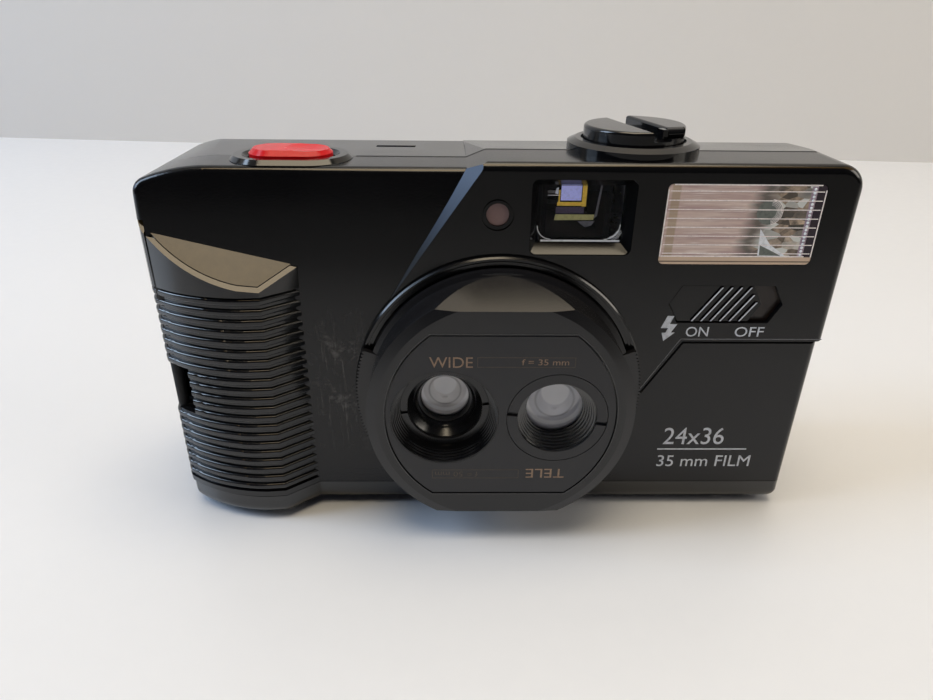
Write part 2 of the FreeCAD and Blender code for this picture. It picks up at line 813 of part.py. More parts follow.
def chassis():
    """The one-piece frame: take-up chamber, film gate with its light tunnel, cassette chamber."""
    floor = D.chassis_floor
    top = D.chassis_top
    gate_x = D.turret_x - D.lens_offset
    middle_z = D.turret_z
    block = fuse(
        box((-61.6, -7.6, floor), (-30.4, D.film_y, top)),
        box((-31, -6.8, floor), (14, D.film_y, top)),
        box((12.2, -10.7, floor), (40.6, D.film_y, top)),
    )
    room_low = floor + 1.3
    room_height = top - floor - 2.6
    spool_room = fuse(
        rod((D.spool_x, D.spool_y, room_low), D.chamber_radius, room_height),
        box((-60.4, D.spool_y, room_low), (-39.6, 18, room_low + room_height)),
    )
    cassette_room = fuse(
        rod((D.cassette_x, D.cassette_y, room_low), D.cassette_radius, room_height),
        box((14.3, D.cassette_y, room_low), (39.3, 18, room_low + room_height)),
    )
    tunnel = fuse(
        baffle_step(gate_x, middle_z, 6.5, 6.5, -8.0, -1.9),
        baffle_step(gate_x, middle_z, 11.5, 9.0, -2.0, 6.1),
        baffle_step(gate_x, middle_z, 18.0, 12.0, 6.0, 17.0),
    )
    lightening = [
        box((-30.6, -5.3, 44.5), (11.0, 14, top - 1.3)),
        box((-30.6, -5.3, floor + 1.3), (11.0, 14, 14.5)),
    ]
    shaft_holes = [
        rod((D.spool_x, D.spool_y, floor - 1), 2.1, 60),
        rod((D.cassette_x, D.cassette_y, floor - 1), 3.6, 60),
    ]
    sprocket_room = fuse(
        rod((D.sprocket_x, D.sprocket_y, room_low), 4.6, room_height),
        box((D.sprocket_x - 4.6, D.sprocket_y, room_low), (D.sprocket_x + 4.6, 18, room_low + room_height)),
        rod((D.sprocket_x, D.sprocket_y, floor - 1), 1.08, 60),
    )
    lug_room = box((-62, -8, 23.1), (-59.7, -2.7, 36.5))
    turret_back = rod((D.turret_x, -12, D.turret_z), 22.0, 2.3, BACK)
    body = cut(
        block,
        spool_room,
        cassette_room,
        tunnel,
        sprocket_room,
        turret_back,
        lug_room,
        *lightening,
        *shaft_holes,
    )
    posts = [
        rod((D.wheel_x, D.wheel_y, top - 0.5), 1.5, 10.7),
        rod((D.counter_x, D.counter_y, top - 0.5), 1.0, 12.9),
    ]
    node("chassis", fuse(body, film_rails(gate_x, middle_z), *posts))


def baffle_step(gate_x, middle_z, half_width, half_height, front, back):
    """One straight step of the light tunnel, which widens from the taking lens to the film gate."""
    return box(
        (gate_x - half_width, front, middle_z - half_height),
        (gate_x + half_width, back, middle_z + half_height),
    )


def film_rails(gate_x, middle_z):
    """Two polished rails that the film runs on, above and below the gate."""
    return fuse(
        box((gate_x - 20, D.film_y, middle_z - 13.6), (gate_x + 20, D.film_y + 0.15, middle_z - 12.6)),
        box((gate_x - 20, D.film_y, middle_z + 12.6), (gate_x + 20, D.film_y + 0.15, middle_z + 13.6)),
    )


def transport():
    """Take-up spool, sprocket, thumb wheel and frame counter."""
    floor = D.chassis_floor
    spool = fuse(
        rod((D.spool_x, D.spool_y, floor + 1.6), 6.2, D.chassis_top - floor - 3.2),
        rod((D.spool_x, D.spool_y, floor + 0.2), 2.0, D.chassis_top - floor + 1.0),
        rod((D.spool_x, D.spool_y, floor + 1.6), 9.6, 1.2),
        rod((D.spool_x, D.spool_y, D.chassis_top - 2.8), 9.6, 1.2),
    )
    slot = box((D.spool_x - 1.2, -10, 24), (D.spool_x + 1.2, 20, 36))
    node("take_up_spool", cut(spool, slot))
    node("sprocket", sprocket())
    node("advance_wheel", advance_wheel())
    dial = tube((D.counter_x, D.counter_y, 69.2), UP, 7.9, 1.06, 1.2)
    node("counter_dial", dial)
    window = box((-23.4, 11.05, 72.0), (-15.5, 12.85, 73.2))
    node("counter_window", window)


def sprocket():
    """The toothed drum that counts the film's perforations: eight teeth at each end."""
    x = D.sprocket_x
    y = D.sprocket_y
    low = D.chassis_floor + 1.6
    parts = [
        rod((x, y, low), 2.9, D.chassis_top - D.chassis_floor - 3.2),
        rod((x, y, D.chassis_floor + 0.1), 1.0, D.chassis_top - D.chassis_floor - 0.2),
    ]
    for level in (14.6, 44.2):
        for n in range(8):
            angle = math.radians(45 * n)
            tip = Vector(math.cos(angle), math.sin(angle), 0)
            parts.append(rod((x, y, level), 0.55, 3.9, tip))
    return fuse(*parts)


def advance_wheel():
    """The thumb wheel, with a knurled rim that stands out of the back."""
    centre = Vector(DIMENSIONS["wheel_x"], DIMENSIONS["wheel_y"], 61.8)
    teeth = 60
    outer = DIMENSIONS["wheel_radius"]
    points = []
    for n in range(teeth):
        for part, radius in ((0.0, outer - 0.45), (0.35, outer), (0.65, outer)):
            angle = 2 * math.pi * (n + part) / teeth
            points.append(centre + Vector(radius * math.cos(angle), radius * math.sin(angle), 0))
    points.append(points[0])
    rim = Part.Face(Part.makePolygon(points)).extrude(Vector(0, 0, 4.0))
    return cut(shaped(rim), rod((D.wheel_x, D.wheel_y, 60), 1.56, 8))


# ---------------------------------------------------------------- turret


def drum_blank():
    """The turret moulding before boring: front rim, drum, flange with finger teeth, spigot."""
    axis = (D.turret_x, D.turret_front_y, D.turret_z)
    profile = [
        (0, 0),
        (D.turret_radius - 1.9, 0),
        (D.turret_radius, 0.5),
        (D.turret_radius, 8.6),
        (26.5, 8.9),
        (26.5, 10.4),
        (D.spigot_radius, 10.4),
        (D.spigot_radius, 12.95),
        (0, 12.95),
    ]
    body = fuse(turned(axis, BACK, profile), finger_teeth(0), finger_teeth(180))
    return cut(body, slanted_flat(1), slanted_flat(-1))


def slanted_flat(side):
    """The cutter for the oblique facet above (side 1) or below (side -1) the turret face."""
    slope = math.radians(21.6)
    front = DIMENSIONS["turret_flat"]
    cutter = Part.makeBox(70, 60, 20, Vector(-35, -20, 0))
    turn = FreeCAD.Rotation(Vector(1, 0, 0), math.degrees(slope))
    base = Vector(DIMENSIONS["turret_x"], DIMENSIONS["turret_front_y"], DIMENSIONS["turret_z"] + front)
    cutter.Placement = FreeCAD.Placement(base, turn)
    if side < 0:
        pivot = Vector(DIMENSIONS["turret_x"], 0, DIMENSIONS["turret_z"])
        cutter.rotate(pivot, Vector(0, 1, 0), 180)
    stop = Part.makeBox(120, 40, 120, Vector(-60, DIMENSIONS["turret_front_y"] + 8.75, -30))
    return shaped(cutter.cut(stop))


def finger_teeth(start_degrees):
    """A band of fine teeth for the fingers, 42 degrees long, on one side of the flange."""
    centre = Vector(DIMENSIONS["turret_x"], DIMENSIONS["turret_front_y"] + 8.5, DIMENSIONS["turret_z"])
    teeth = 27
    outer = 28.4

    def at(radius, degrees):
        angle = math.radians(start_degrees + degrees)
        return centre + Vector(radius * math.cos(angle), 0, radius * math.sin(angle))

    points = [at(25, -21)]
    for n in range(teeth):
        start = -21 + 42 * n / teeth
        step = 42 / teeth
        points.append(at(outer - 0.5, start))
        points.append(at(outer, start + 0.3 * step))
        points.append(at(outer, start + 0.7 * step))
    points.append(at(outer - 0.5, 21))
    points.append(at(25, 21))
    points.append(points[0])
    return shaped(Part.Face(Part.makePolygon(points)).extrude(Vector(0, 1.3, 0)))


def face_outline(radius, flat):
    """A circle with its top and bottom cut flat, as corners for a prism along Y."""
    half_chord = math.sqrt(radius**2 - flat**2)
    bulge = math.tan(math.asin(flat / radius) / 2)
    return [
        (D.turret_x - half_chord, D.turret_z - flat),
        (D.turret_x + half_chord, D.turret_z - flat, bulge),
        (D.turret_x + half_chord, D.turret_z + flat),
        (D.turret_x - half_chord, D.turret_z + flat, bulge),
    ]


def notches(x, inner, outer, low, high, turn):
    """Two spanner notches across a ring, turned from level by some degrees."""
    angle = math.radians(turn)
    reach = Vector(math.cos(angle), 0, math.sin(angle))
    half_width = Vector(-reach.z, 0, reach.x) * 0.45
    cutters = []
    for side in (-1, 1):
        ends = [reach * (side * (inner - 0.1)), reach * (side * (outer + 0.1))]
        spots = [ends[0] - half_width, ends[1] - half_width, ends[1] + half_width, ends[0] + half_width]
        if side < 0:
            spots.reverse()
        cutters.append(prism("XZ", [(x + spot.x, D.turret_z + spot.z) for spot in spots], low, high))
    return cutters


def turret():
    front = D.turret_front_y
    wide_x = D.turret_x - D.lens_offset
    tele_x = D.turret_x + D.lens_offset
    drum = cut(
        drum_blank(),
        prism("XZ", face_outline(22.0, 17.6), front - 1, front + 0.9),
        rod((wide_x, front - 1, D.turret_z), 10.3, 5.2, BACK),
        rod((wide_x, front - 1, D.turret_z), 8.65, 20, BACK),
        rod((tele_x, front - 1, D.turret_z), 9.65, 2.4, BACK),
        rod((tele_x, front - 1, D.turret_z), 8.65, 20, BACK),
    )
    node("turret_drum", drum)
    plate = cut(
        prism("XZ", face_outline(21.75, 17.35), front + 0.1, front + 0.85),
        rod((wide_x, front - 1, D.turret_z), 10.3, 5, BACK),
        rod((tele_x, front - 1, D.turret_z), 9.7, 5, BACK),
    )
    node("turret_face_plate", plate)
    retainer = cut(
        rod((D.turret_x, -10.73, D.turret_z), 21.2, 0.6, BACK),
        rod((wide_x, -12, D.turret_z), 6.0, 3, BACK),
        rod((tele_x, -12, D.turret_z), 6.0, 3, BACK),
    )
    node("turret_retainer", retainer)
    wide_lens(wide_x)
    tele_lens(tele_x)
    mount_ring()


def mount_ring():
    """The fixed ring round the turret, stepped in fine rings towards the turret."""
    bore = D.spigot_radius + D.running_fit
    profile = [
        (bore, 12.7),
        (bore, 10.75),
        (26.6, 10.75),
        (26.9, 10.5),
        (27.45, 10.5),
        (27.45, 10.05),
        (27.75, 10.05),
        (27.75, 10.3),
        (28.0, 10.3),
        (28.0, 10.0),
        (28.35, 10.0),
        (D.ring_radius, 10.3),
        (D.ring_radius, size(-11.95) - D.turret_front_y),
        (23.0, size(-11.95) - D.turret_front_y),
        (23.0, 12.7),
    ]
    node("turret_mount_ring", turned((D.turret_x, D.turret_front_y, D.turret_z), BACK, profile))


def stepped(start_radius, end_radius, start, end, steps):
    """Corners of a bore that narrows in rounded steps, front to back."""
    corners = []
    for n in range(steps):
        radius = start_radius + (end_radius - start_radius) * n / steps
        following = start_radius + (end_radius - start_radius) * (n + 1) / steps
        near = start + (end - start) * n / steps
        far = start + (end - start) * (n + 1) / steps
        corners.append((radius, near))
        corners.append((radius - 0.08, far - 0.18))
        corners.append((following, far - 0.1))
    return corners


def wide_lens(x):
    front = D.turret_front_y
    spot = (x, front, D.turret_z)
    hood = stepped(10.05, 8.75, 0.15, 4.0, 6) + [(8.7, 4.1), (10.25, 4.1), (10.25, 0.15)]
    node("wide_hood", turned(spot, BACK, hood))
    ring = cut(
        tube((x, front + 4.2, D.turret_z), BACK, 8.6, 7.35, 0.8),
        *notches(x, 7.35, 8.6, front + 4.0, front + 4.7, 7),
    )
    node("wide_spanner_ring", ring)
    funnel = [
        (7.3, 5.1),
        (6.2, 6.4, 0.12),
        (5.5, 7.2),
        (5.3, 7.5, 0.1),
        (4.75, 8.7),
        (5.0, 8.8),
        (5.0, 12.9),
        (8.58, 12.9),
        (8.58, 5.1),
    ]
    node("wide_barrel", turned(spot, BACK, funnel))
    node("wide_front_lens", turned(spot, BACK, [(0, 8.55), (4.9, 9.1), (4.9, 10.3), (0, 10.3)]))
    node("wide_rear_lens", turned(spot, BACK, [(0, 11.9), (4.9, 11.6), (4.9, 12.6), (0, 12.9)]))


def tele_lens(x):
    front = D.turret_front_y
    spot = (x, front, D.turret_z)
    ring = cut(
        tube((x, front + 0.12, D.turret_z), BACK, 9.55, 7.6, 1.2),
        *notches(x, 7.6, 9.55, front, front + 0.7, -7),
    )
    node("tele_spanner_ring", ring)
    bore = stepped(7.5, 5.6, 0.5, 4.3, 6) + [
        (5.5, 4.4),
        (5.9, 4.5),
        (5.9, 12.9),
        (8.58, 12.9),
        (8.58, 1.4),
        (7.55, 1.4),
        (7.55, 0.5),
    ]
    node("tele_barrel", turned(spot, BACK, bore))
    node("tele_front_lens", turned(spot, BACK, [(0, 4.3), (5.85, 5.2), (5.85, 6.6), (0, 7.4)]))
    node("tele_rear_lens", turned(spot, BACK, [(0, 11.2), (5.85, 10.6), (5.85, 12.9), (0, 12.0)]))


# ---------------------------------------------------------------- shutter and release


def shutter():
    gate_x = D.turret_x - D.lens_offset
    plate = cut(
        box((-31.5, -9.6, 12.0), (11.8, -8.6, 46.7)),
        rod((gate_x, -12, D.turret_z), 4.2, 6, BACK),
    )
    blade_pin = rod((-25.0, -9.5, 20.0), 1.0, 2.3, BACK)
    node("shutter_plate", fuse(plate, blade_pin))
    reach = Vector(-9.18 + 25.0, 0, 10.0)
    blade_disc = rod((gate_x, -8.3, D.turret_z), 6.0, 0.4, BACK)
    arm_angle = math.degrees(math.atan2(reach.z, reach.x))
    arm = Part.makeBox(reach.Length, 0.4, 4.4, Vector(0, 0, -2.2))
    arm.rotate(Vector(0, 0, 0), Vector(0, 1, 0), -arm_angle)
    arm.translate(Vector(-25.0, -8.3, 20.0))
    hub = rod((-25.0, -8.3, 20.0), 2.6, 0.4, BACK)
    bored = cut(fuse(blade_disc, shaped(arm), hub), rod((-25.0, -12, 20.0), 1.08, 6, BACK))
    node("shutter_blade", bored)


def release():
    """Red button in its oval bezel, over a spring and a plunger guide."""
    base = D.deck_z
    bezel = cut(
        stadium(D.button_x, D.button_y, D.bezel_length, D.bezel_width, base, base + 0.9),
        stadium(D.button_x, D.button_y, D.button_length + 1.0, D.button_width + 1.0, 60, 80),
    )
    rim = bevel_edges(bezel, 0.8, is_bezel_rim)
    floor = cut(
        stadium(D.button_x, D.button_y, D.bezel_length - 3, D.bezel_width - 2.2, base - 7.0, base - 5.8),
        rod((D.button_x, D.button_y, 60), 1.68, 20),
    )
    skirt = cut(
        stadium(D.button_x, D.button_y, D.bezel_length - 3, D.bezel_width - 2.2, base - 6.0, base + 0.1),
        stadium(D.button_x, D.button_y, D.button_length + 1.0, D.button_width + 1.0, 60, 80),
    )
    node("button_bezel", fuse(rim, floor, skirt))
    cap_top = base + 2.0
    cap = stadium(D.button_x, D.button_y, D.button_length, D.button_width, base - 1.9, cap_top)
    cap = bevel_edges(cap, 0.9, lies_at("z", cap_top))
    dish = doc.addObject("Part::Sphere", fresh("dish"))
    bind(dish, "Radius", 22)
    place(dish, (D.button_x + 3.6, D.button_y, cap_top + 21.55))
    stem = rod((D.button_x, D.button_y, base - 13.0), 1.6, 11.5)
    node("shutter_button", fuse(cut(cap, dish), stem))
    node("button_spring", shaped(coil_spring()))


def coil_spring():
    """Nearly four turns of wire, drawn with an eight-sided section."""
    pitch = 0.9
    height = 3.4
    coil_radius = 2.3
    wire_radius = 0.23
    sides = 8
    helix = Part.makeHelix(pitch, height, coil_radius)
    helix.translate(Vector(DIMENSIONS["button_x"], DIMENSIONS["button_y"], DIMENSIONS["deck_z"] - 5.55))
    start = helix.Vertexes[0].Point
    corners = []
    for n in range(sides):
        angle = 2 * math.pi * n / sides
        corners.append(start + Vector(wire_radius * math.cos(angle), 0, wire_radius * math.sin(angle)))
    section = Part.makePolygon(corners + [corners[0]])
    return Part.Wire(helix).makePipeShell([section], True, False)


def is_bezel_rim(edge):
    bound = edge.BoundBox
    top = abs(bound.ZMin - (DIMENSIONS["deck_z"] + 0.9)) < 0.01
    return top and bound.ZMax - bound.ZMin < 0.01 and bound.YMax - bound.YMin + bound.XMax - bound.XMin > 0


# ---------------------------------------------------------------- rewind


def rewind():
    x = D.cassette_x
    y = D.cassette_y
    base = [
        (2.55, 72.95),
        (D.dial_radius, 72.95),
        (D.dial_radius, 76.6),
        (11.0, 77.3),
        (9.95, 77.3),
        (9.95, 76.5),
        (2.55, 76.5),
    ]
    node("rewind_base", turned((x, y, 0), UP, base))
    shaft = fuse(
        rod((x, y, 52.6), 2.45, 24.2),
        rod((x, y, 50.0), 1.2, 3.0),
        rod((x, y, 59.9), 3.4, 0.9),
        rod((x, y, 62.4), 3.4, 0.6),
        box((x - 2.9, y - 0.5, 50.0), (x + 2.9, y + 0.5, 53.0)),
    )
    node("rewind_shaft", shaft)
    latch = fuse(
        tube((x, y, 60.9), UP, 4.3, 2.55, 1.4),
        box((x - 1.4, y + 3.4, 60.9), (x + 1.4, 19.4, 62.3)),
        box((x - 1.4, 18.2, 59.8), (x + 1.4, 19.4, 62.3)),
    )
    node("door_latch", latch)
    knob_top = 79.8
    pivot_z = 79.1
    disc = rod((x, y, 76.85), D.knob_radius, 1.2)
    raised = rod((x, y, 77.9), D.knob_radius, knob_top - 77.9)
    cheek = common(raised, knob_region(-14, -0.9, -14, 14, 77.5, 82))
    cheek = round_edges(cheek, 0.6, lies_at("z", knob_top))
    sill = common(raised, knob_region(2.9, 14, -14, -7.8, 77.5, 78.4))
    lug = knob_region(1.8, 2.8, -7.6, -5.6, 77.9, 79.9)
    pin_spot = crank_pin_spot(1.85, pivot_z)
    pin = rod(pin_spot, 0.6, 4.3, slot_direction())
    node("rewind_knob", fuse(disc, cheek, sill, lug, pin))
    arm = common(
        rod((x, y, 78.15), D.knob_radius, 1.95),
        knob_region(3.0, 14, -6.6, 14, 77.5, 82),
    )
    arm = round_edges(arm, 0.5, lies_at("z", 80.1))
    eye = rod(crank_pin_spot(3.0, pivot_z), 0.95, 3.3, slot_direction())
    bore = rod(pin_spot, 0.66, 6.9, slot_direction())
    node("rewind_crank", cut(fuse(arm, eye), bore))


SLOT_TURN = 15.0


def slot_direction():
    angle = math.radians(SLOT_TURN)
    return Vector(math.cos(angle), math.sin(angle), 0)


def across_slot(across, along):
    """A spot on the knob, given across and along its slot."""
    right = slot_direction()
    back = Vector(-right.y, right.x, 0)
    spot = right * across + back * along
    return (D.cassette_x + spot.x, D.cassette_y + spot.y)


def crank_pin_spot(across, level):
    """The pin lies across the lever near its front end."""
    return across_slot(across, -6.6) + (level,)


def knob_region(left, right, near, far, low, high):
    """A block squared up with the knob's slot."""
    corners = [
        across_slot(left, near),
        across_slot(right, near),
        across_slot(right, far),
        across_slot(left, far),
    ]
    return prism("XY", corners, low, high)


# ---------------------------------------------------------------- finder and flash


def finder():
    left = D.finder_left
    right = D.finder_right
    low = D.finder_low
    high = D.finder_high
    flared = Part.makeLoft(
        [
            rectangle(7.6, 23.6, 60.4, 71.2, -10.3),
            rectangle(6.45, 25.05, 58.8, 72.5, -12.3),
        ],
        True,
    )
    frame = box((left + 0.1, -12.3, low + 0.1), (right - 0.1, -9.6, high - 0.1))
    hood = cut(
        round_edges(frame, 1.15, runs_along_y),
        shaped(flared),
        box((7.6, -11, 60.4), (23.6, -9, 71.2)),
    )
    node("finder_hood", hood)
    node("finder_front_lens", box((7.7, -10.2, 60.5), (23.5, -9.3, 71.1)))
    tunnel = cut(
        box((8.6, -9.1, 60.0), (21.4, 17.9, 71.1)),
        box((9.6, -9.5, 61.2), (20.4, 18.5, 69.9)),
    )
    node("finder_tunnel", tunnel)
    mask = cut(
        box((9.65, 8.0, 61.25), (20.35, 8.6, 69.85)),
        box((11.6, 7.5, 62.9), (18.9, 9, 68.2)),
    )
    node("finder_frame_mask", mask)
    node("eyepiece_lens", box((10.4, 18.2, 62.0), (21.1, 19.6, 69.8)))
    bezel = cut(
        box((8.9, D.back_y, 60.5), (22.6, D.back_y + 0.8, 71.0)),
        box((10.6, 20, 62.2), (20.9, 24, 69.6)),
    )
    sleeve = cut(
        box((10.1, 19.8, 61.7), (21.4, D.back_y, 70.1)),
        box((10.6, 18, 62.2), (20.9, 24, 69.6)),
    )
    node("eyepiece_bezel", fuse(round_edges(bezel, 0.6, runs_along_y), sleeve))


def rectangle(left, right, low, high, y):
    corners = [Vector(left, y, low), Vector(right, y, low), Vector(right, y, high), Vector(left, y, high)]
    return Part.makePolygon(corners + [corners[0]])


def flash():
    left = D.flash_left + 0.08
    right = D.flash_right - 0.08
    low = D.flash_low + 0.08
    high = D.flash_high - 0.08
    pane = round_edges(box((left, -12.45, low), (right, -10.95, high)), 0.95, runs_along_y)
    node("flash_window", pane)
    trough_low = D.chassis_top + 0.25
    trough_high = high - 0.4
    trough_outer = box((left, -10.75, trough_low), (right, -1.0, trough_high))
    middle = (trough_low + trough_high) * 0.5
    half = 6.0
    mouth = [
        (-11, middle - half),
        (-9.0, middle - half, 0.0),
        (-1.6, middle - 1.5),
        (-1.6, middle + 1.5),
        (-9.0, middle + half),
        (-11, middle + half),
    ]
    node("flash_reflector", cut(trough_outer, prism("YZ", mouth, left + 0.7, right - 0.7)))
    node("flash_tube", rod((left + 0.7, -4.2, middle), 1.3, right - left - 1.4, RIGHT))
    node("flash_capacitor", rod((33.5, 5.6, 64.6), 5.1, 27.5, RIGHT))
    node("flash_board", box((32.0, 12.6, 58.8), (61.5, 14.1, 70.6)))
    slider = fuse(
        switch_plate(),
        box((D.switch_left + 5.5, -11.35, D.switch_z - 1.4), (D.switch_left + 9, -10.9, D.switch_z + 1.4)),
        *switch_ribs(),
    )
    node("flash_switch", slider)
    tray = cut(
        switch_backing(0.1, -11.2, -10.85),
        box((D.switch_left + 5.2, -12, D.switch_z - 1.7), (D.switch_left + 13, -8, D.switch_z + 1.7)),
    )
    node("switch_tray", tray)
    node("sensor_window", rod((D.sensor_x, -12.1, D.sensor_z), 2.05, 0.9, BACK))
    node("sensor_cell", rod((D.sensor_x, -10.5, D.sensor_z), 2.6, 2.2, BACK))


def switch_plate():
    """The slider's six-sided face, shorter than its slot by the travel."""
    travel = 3.6
    middle = D.switch_z
    half = D.switch_half_height - 0.25
    left = D.switch_left + 0.35
    right = D.switch_right - 0.35 - travel
    corners = [
        (left, middle),
        (left + 2.0, middle - half),
        (right - 2.0, middle - half),
        (right, middle),
        (right - 2.0, middle + half),
        (left + 2.0, middle + half),
    ]
    return prism("XZ", corners, -12.0, -11.3)


def switch_backing(inset, near, far):
    """The flat room behind the switch slot, and the plate that lies in it."""
    return box(
        (D.switch_left - 1.6 + inset, near, D.switch_z - 5.1 + inset),
        (D.switch_right + 1.6 - inset, far, D.switch_z + 5.2 - inset),
    )


def switch_ribs():
    """Six slanted finger ribs on the right half of the slider."""
    ribs = []
    half = 3.5
    for n in range(6):
        foot_x = D.switch_left + 4.9 + 1.85 * n
        lean = 4.9
        reach = 1.0 if n < 4 else 1.0 - 0.22 * (n - 3)
        middle = D.switch_z
        corners = [
            (foot_x, middle - half),
            (foot_x + 0.5, middle - half),
            (foot_x + 0.5 + lean * reach, middle - half + 2 * half * reach),
            (foot_x + lean * reach, middle - half + 2 * half * reach),
        ]
        ribs.append(prism("XZ", corners, -12.4, -11.9))
    return ribs


# ---------------------------------------------------------------- batteries, strap, screws


def battery_parts():
    walls = cut(
        box((45.2, -10.7, D.base_seam_z + 0.2), (62.9, 20.0, D.cell_top_z + 0.6)),
        box((46.3, -9.7, 0), (61.8, 19.9, D.cell_top_z - 0.6)),
    )
    node("battery_box", walls)
    contacts = fuse(
        box((47.5, -9.0, D.cell_top_z - 1.0), (60.5, 18.8, D.cell_top_z - 0.65)),
        turned((D.cell_x, D.cell_front_y, D.cell_top_z - 2.6), UP, [(0, 0), (2.2, 0), (3.6, 1.7), (0, 1.7)]),
        turned((D.cell_x, D.cell_back_y, D.cell_top_z - 2.0), UP, [(0, 0), (2.0, 0), (2.6, 1.1), (0, 1.1)]),
    )
    node("battery_contacts", contacts)


def strap_lug():
    """The lug block in the grip's side, with the bar that the wrist strap loops round."""
    block = cut(
        box((-63.8, -10.0, 23.4), (-60.0, -3.0, 36.2)),
        box((-66, -10.6, 24.9), (-61.0, -4.3, 34.7)),
    )
    node("strap_lug", fuse(block, rod((-63.9, -9.2, 24.6), 1.1, 10.3)))


def rewind_release():
    node("rewind_release_button", fuse(
        rod((-24.0, 6.0, D.base_z - 0.1), 1.95, 2.2),
        rod((-24.0, 6.0, D.base_z + 2.0), 2.9, 0.9),
    ))


def screws():
    """Three cross-head screws under the base cover."""
    heads = []
    for x, y in SCREW_SPOTS:
        head = turned(
            (x, y, D.base_z - 0.35),
            UP,
            [(0, 0), (1.4, 0, 0.3), (2.0, 0.4), (2.0, 0.9), (0.9, 0.9), (0.9, 5.6), (0, 6.1)],
        )
        slot_one = box((x - 1.1, y - 0.25, 0), (x + 1.1, y + 0.25, D.base_z + 0.25))
        slot_two = box((x - 0.25, y - 1.1, 0), (x + 0.25, y + 1.1, D.base_z + 0.25))
        heads.append(cut(head, slot_one, slot_two))
    node("base_screws", fuse(*heads))


# ---------------------------------------------------------------- build


form = casing_form()
hollow = cavity()
front_cover(form, hollow)
rear_body(form, hollow)
node("grip_cover", grip_cover())
base_cover()
battery_door()
feet()
film_door()
chassis()
transport()
turret()
shutter()
release()
rewind()
finder()
flash()
battery_parts()
strap_lug()
rewind_release()
screws()
doc.recompute()

for thing in doc.Objects:
    if "Invalid" in thing.State or "Error" in thing.State:
        raise RuntimeError("%s (%s) failed: %s" % (thing.Name, thing.Label, thing.State))
for name, solid in nodes.items():
    if solid.Shape.isNull() or not solid.Shape.isValid():
        raise RuntimeError("%s has no valid shape" % name)

os.makedirs("parts", exist_ok=True)
for name, solid in nodes.items():
    solid.Shape.exportStep("parts/%s.step" % name)
    print("%-24s %2d solid(s) %9.1f mm3" % (name, len(solid.Shape.Solids), solid.Shape.Volume))
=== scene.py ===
import math

import bmesh
import bpy
from mathutils import Matrix, Vector


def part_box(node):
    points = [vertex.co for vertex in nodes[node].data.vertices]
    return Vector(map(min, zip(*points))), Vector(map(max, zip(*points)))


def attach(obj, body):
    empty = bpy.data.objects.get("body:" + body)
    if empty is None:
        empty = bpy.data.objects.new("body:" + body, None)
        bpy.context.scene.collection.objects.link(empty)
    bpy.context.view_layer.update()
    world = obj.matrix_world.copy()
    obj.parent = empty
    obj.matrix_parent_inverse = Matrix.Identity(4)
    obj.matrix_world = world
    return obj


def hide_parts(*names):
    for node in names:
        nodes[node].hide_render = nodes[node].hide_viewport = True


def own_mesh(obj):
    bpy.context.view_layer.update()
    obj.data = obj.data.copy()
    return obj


# The looks of a black compact film camera with a wide and a tele lens on a turning turret.
# Lengths are in metres, in the frame of the CAD model: +X to the flash, +Y to the back, +Z up.

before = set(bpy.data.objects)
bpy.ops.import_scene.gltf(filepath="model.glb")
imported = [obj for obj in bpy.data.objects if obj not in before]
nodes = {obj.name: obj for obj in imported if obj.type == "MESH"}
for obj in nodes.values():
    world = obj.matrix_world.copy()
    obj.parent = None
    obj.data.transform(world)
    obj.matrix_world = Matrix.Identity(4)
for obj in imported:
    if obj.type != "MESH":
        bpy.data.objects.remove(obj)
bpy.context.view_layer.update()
MM = 0.001
PRINT = 0.015 * MM  # thickness of printed marks and fine lines
FILM = 0.03 * MM  # thickness of the films on and behind the windows
LIFT = 0.02 * MM  # how far a mark stands off the face that it lies on


def middle(name):
    low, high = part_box(name)
    return (Vector(low) + Vector(high)) / 2


def low_corner(name):
    return Vector(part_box(name)[0])


def high_corner(name):
    return Vector(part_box(name)[1])


def block_face():
    """Where the raised block's front face lies along Y, just in front of the finder's hood."""
    return low_corner("finder_hood").y - 0.2 * MM


# ---------------------------------------------------------------- node trees


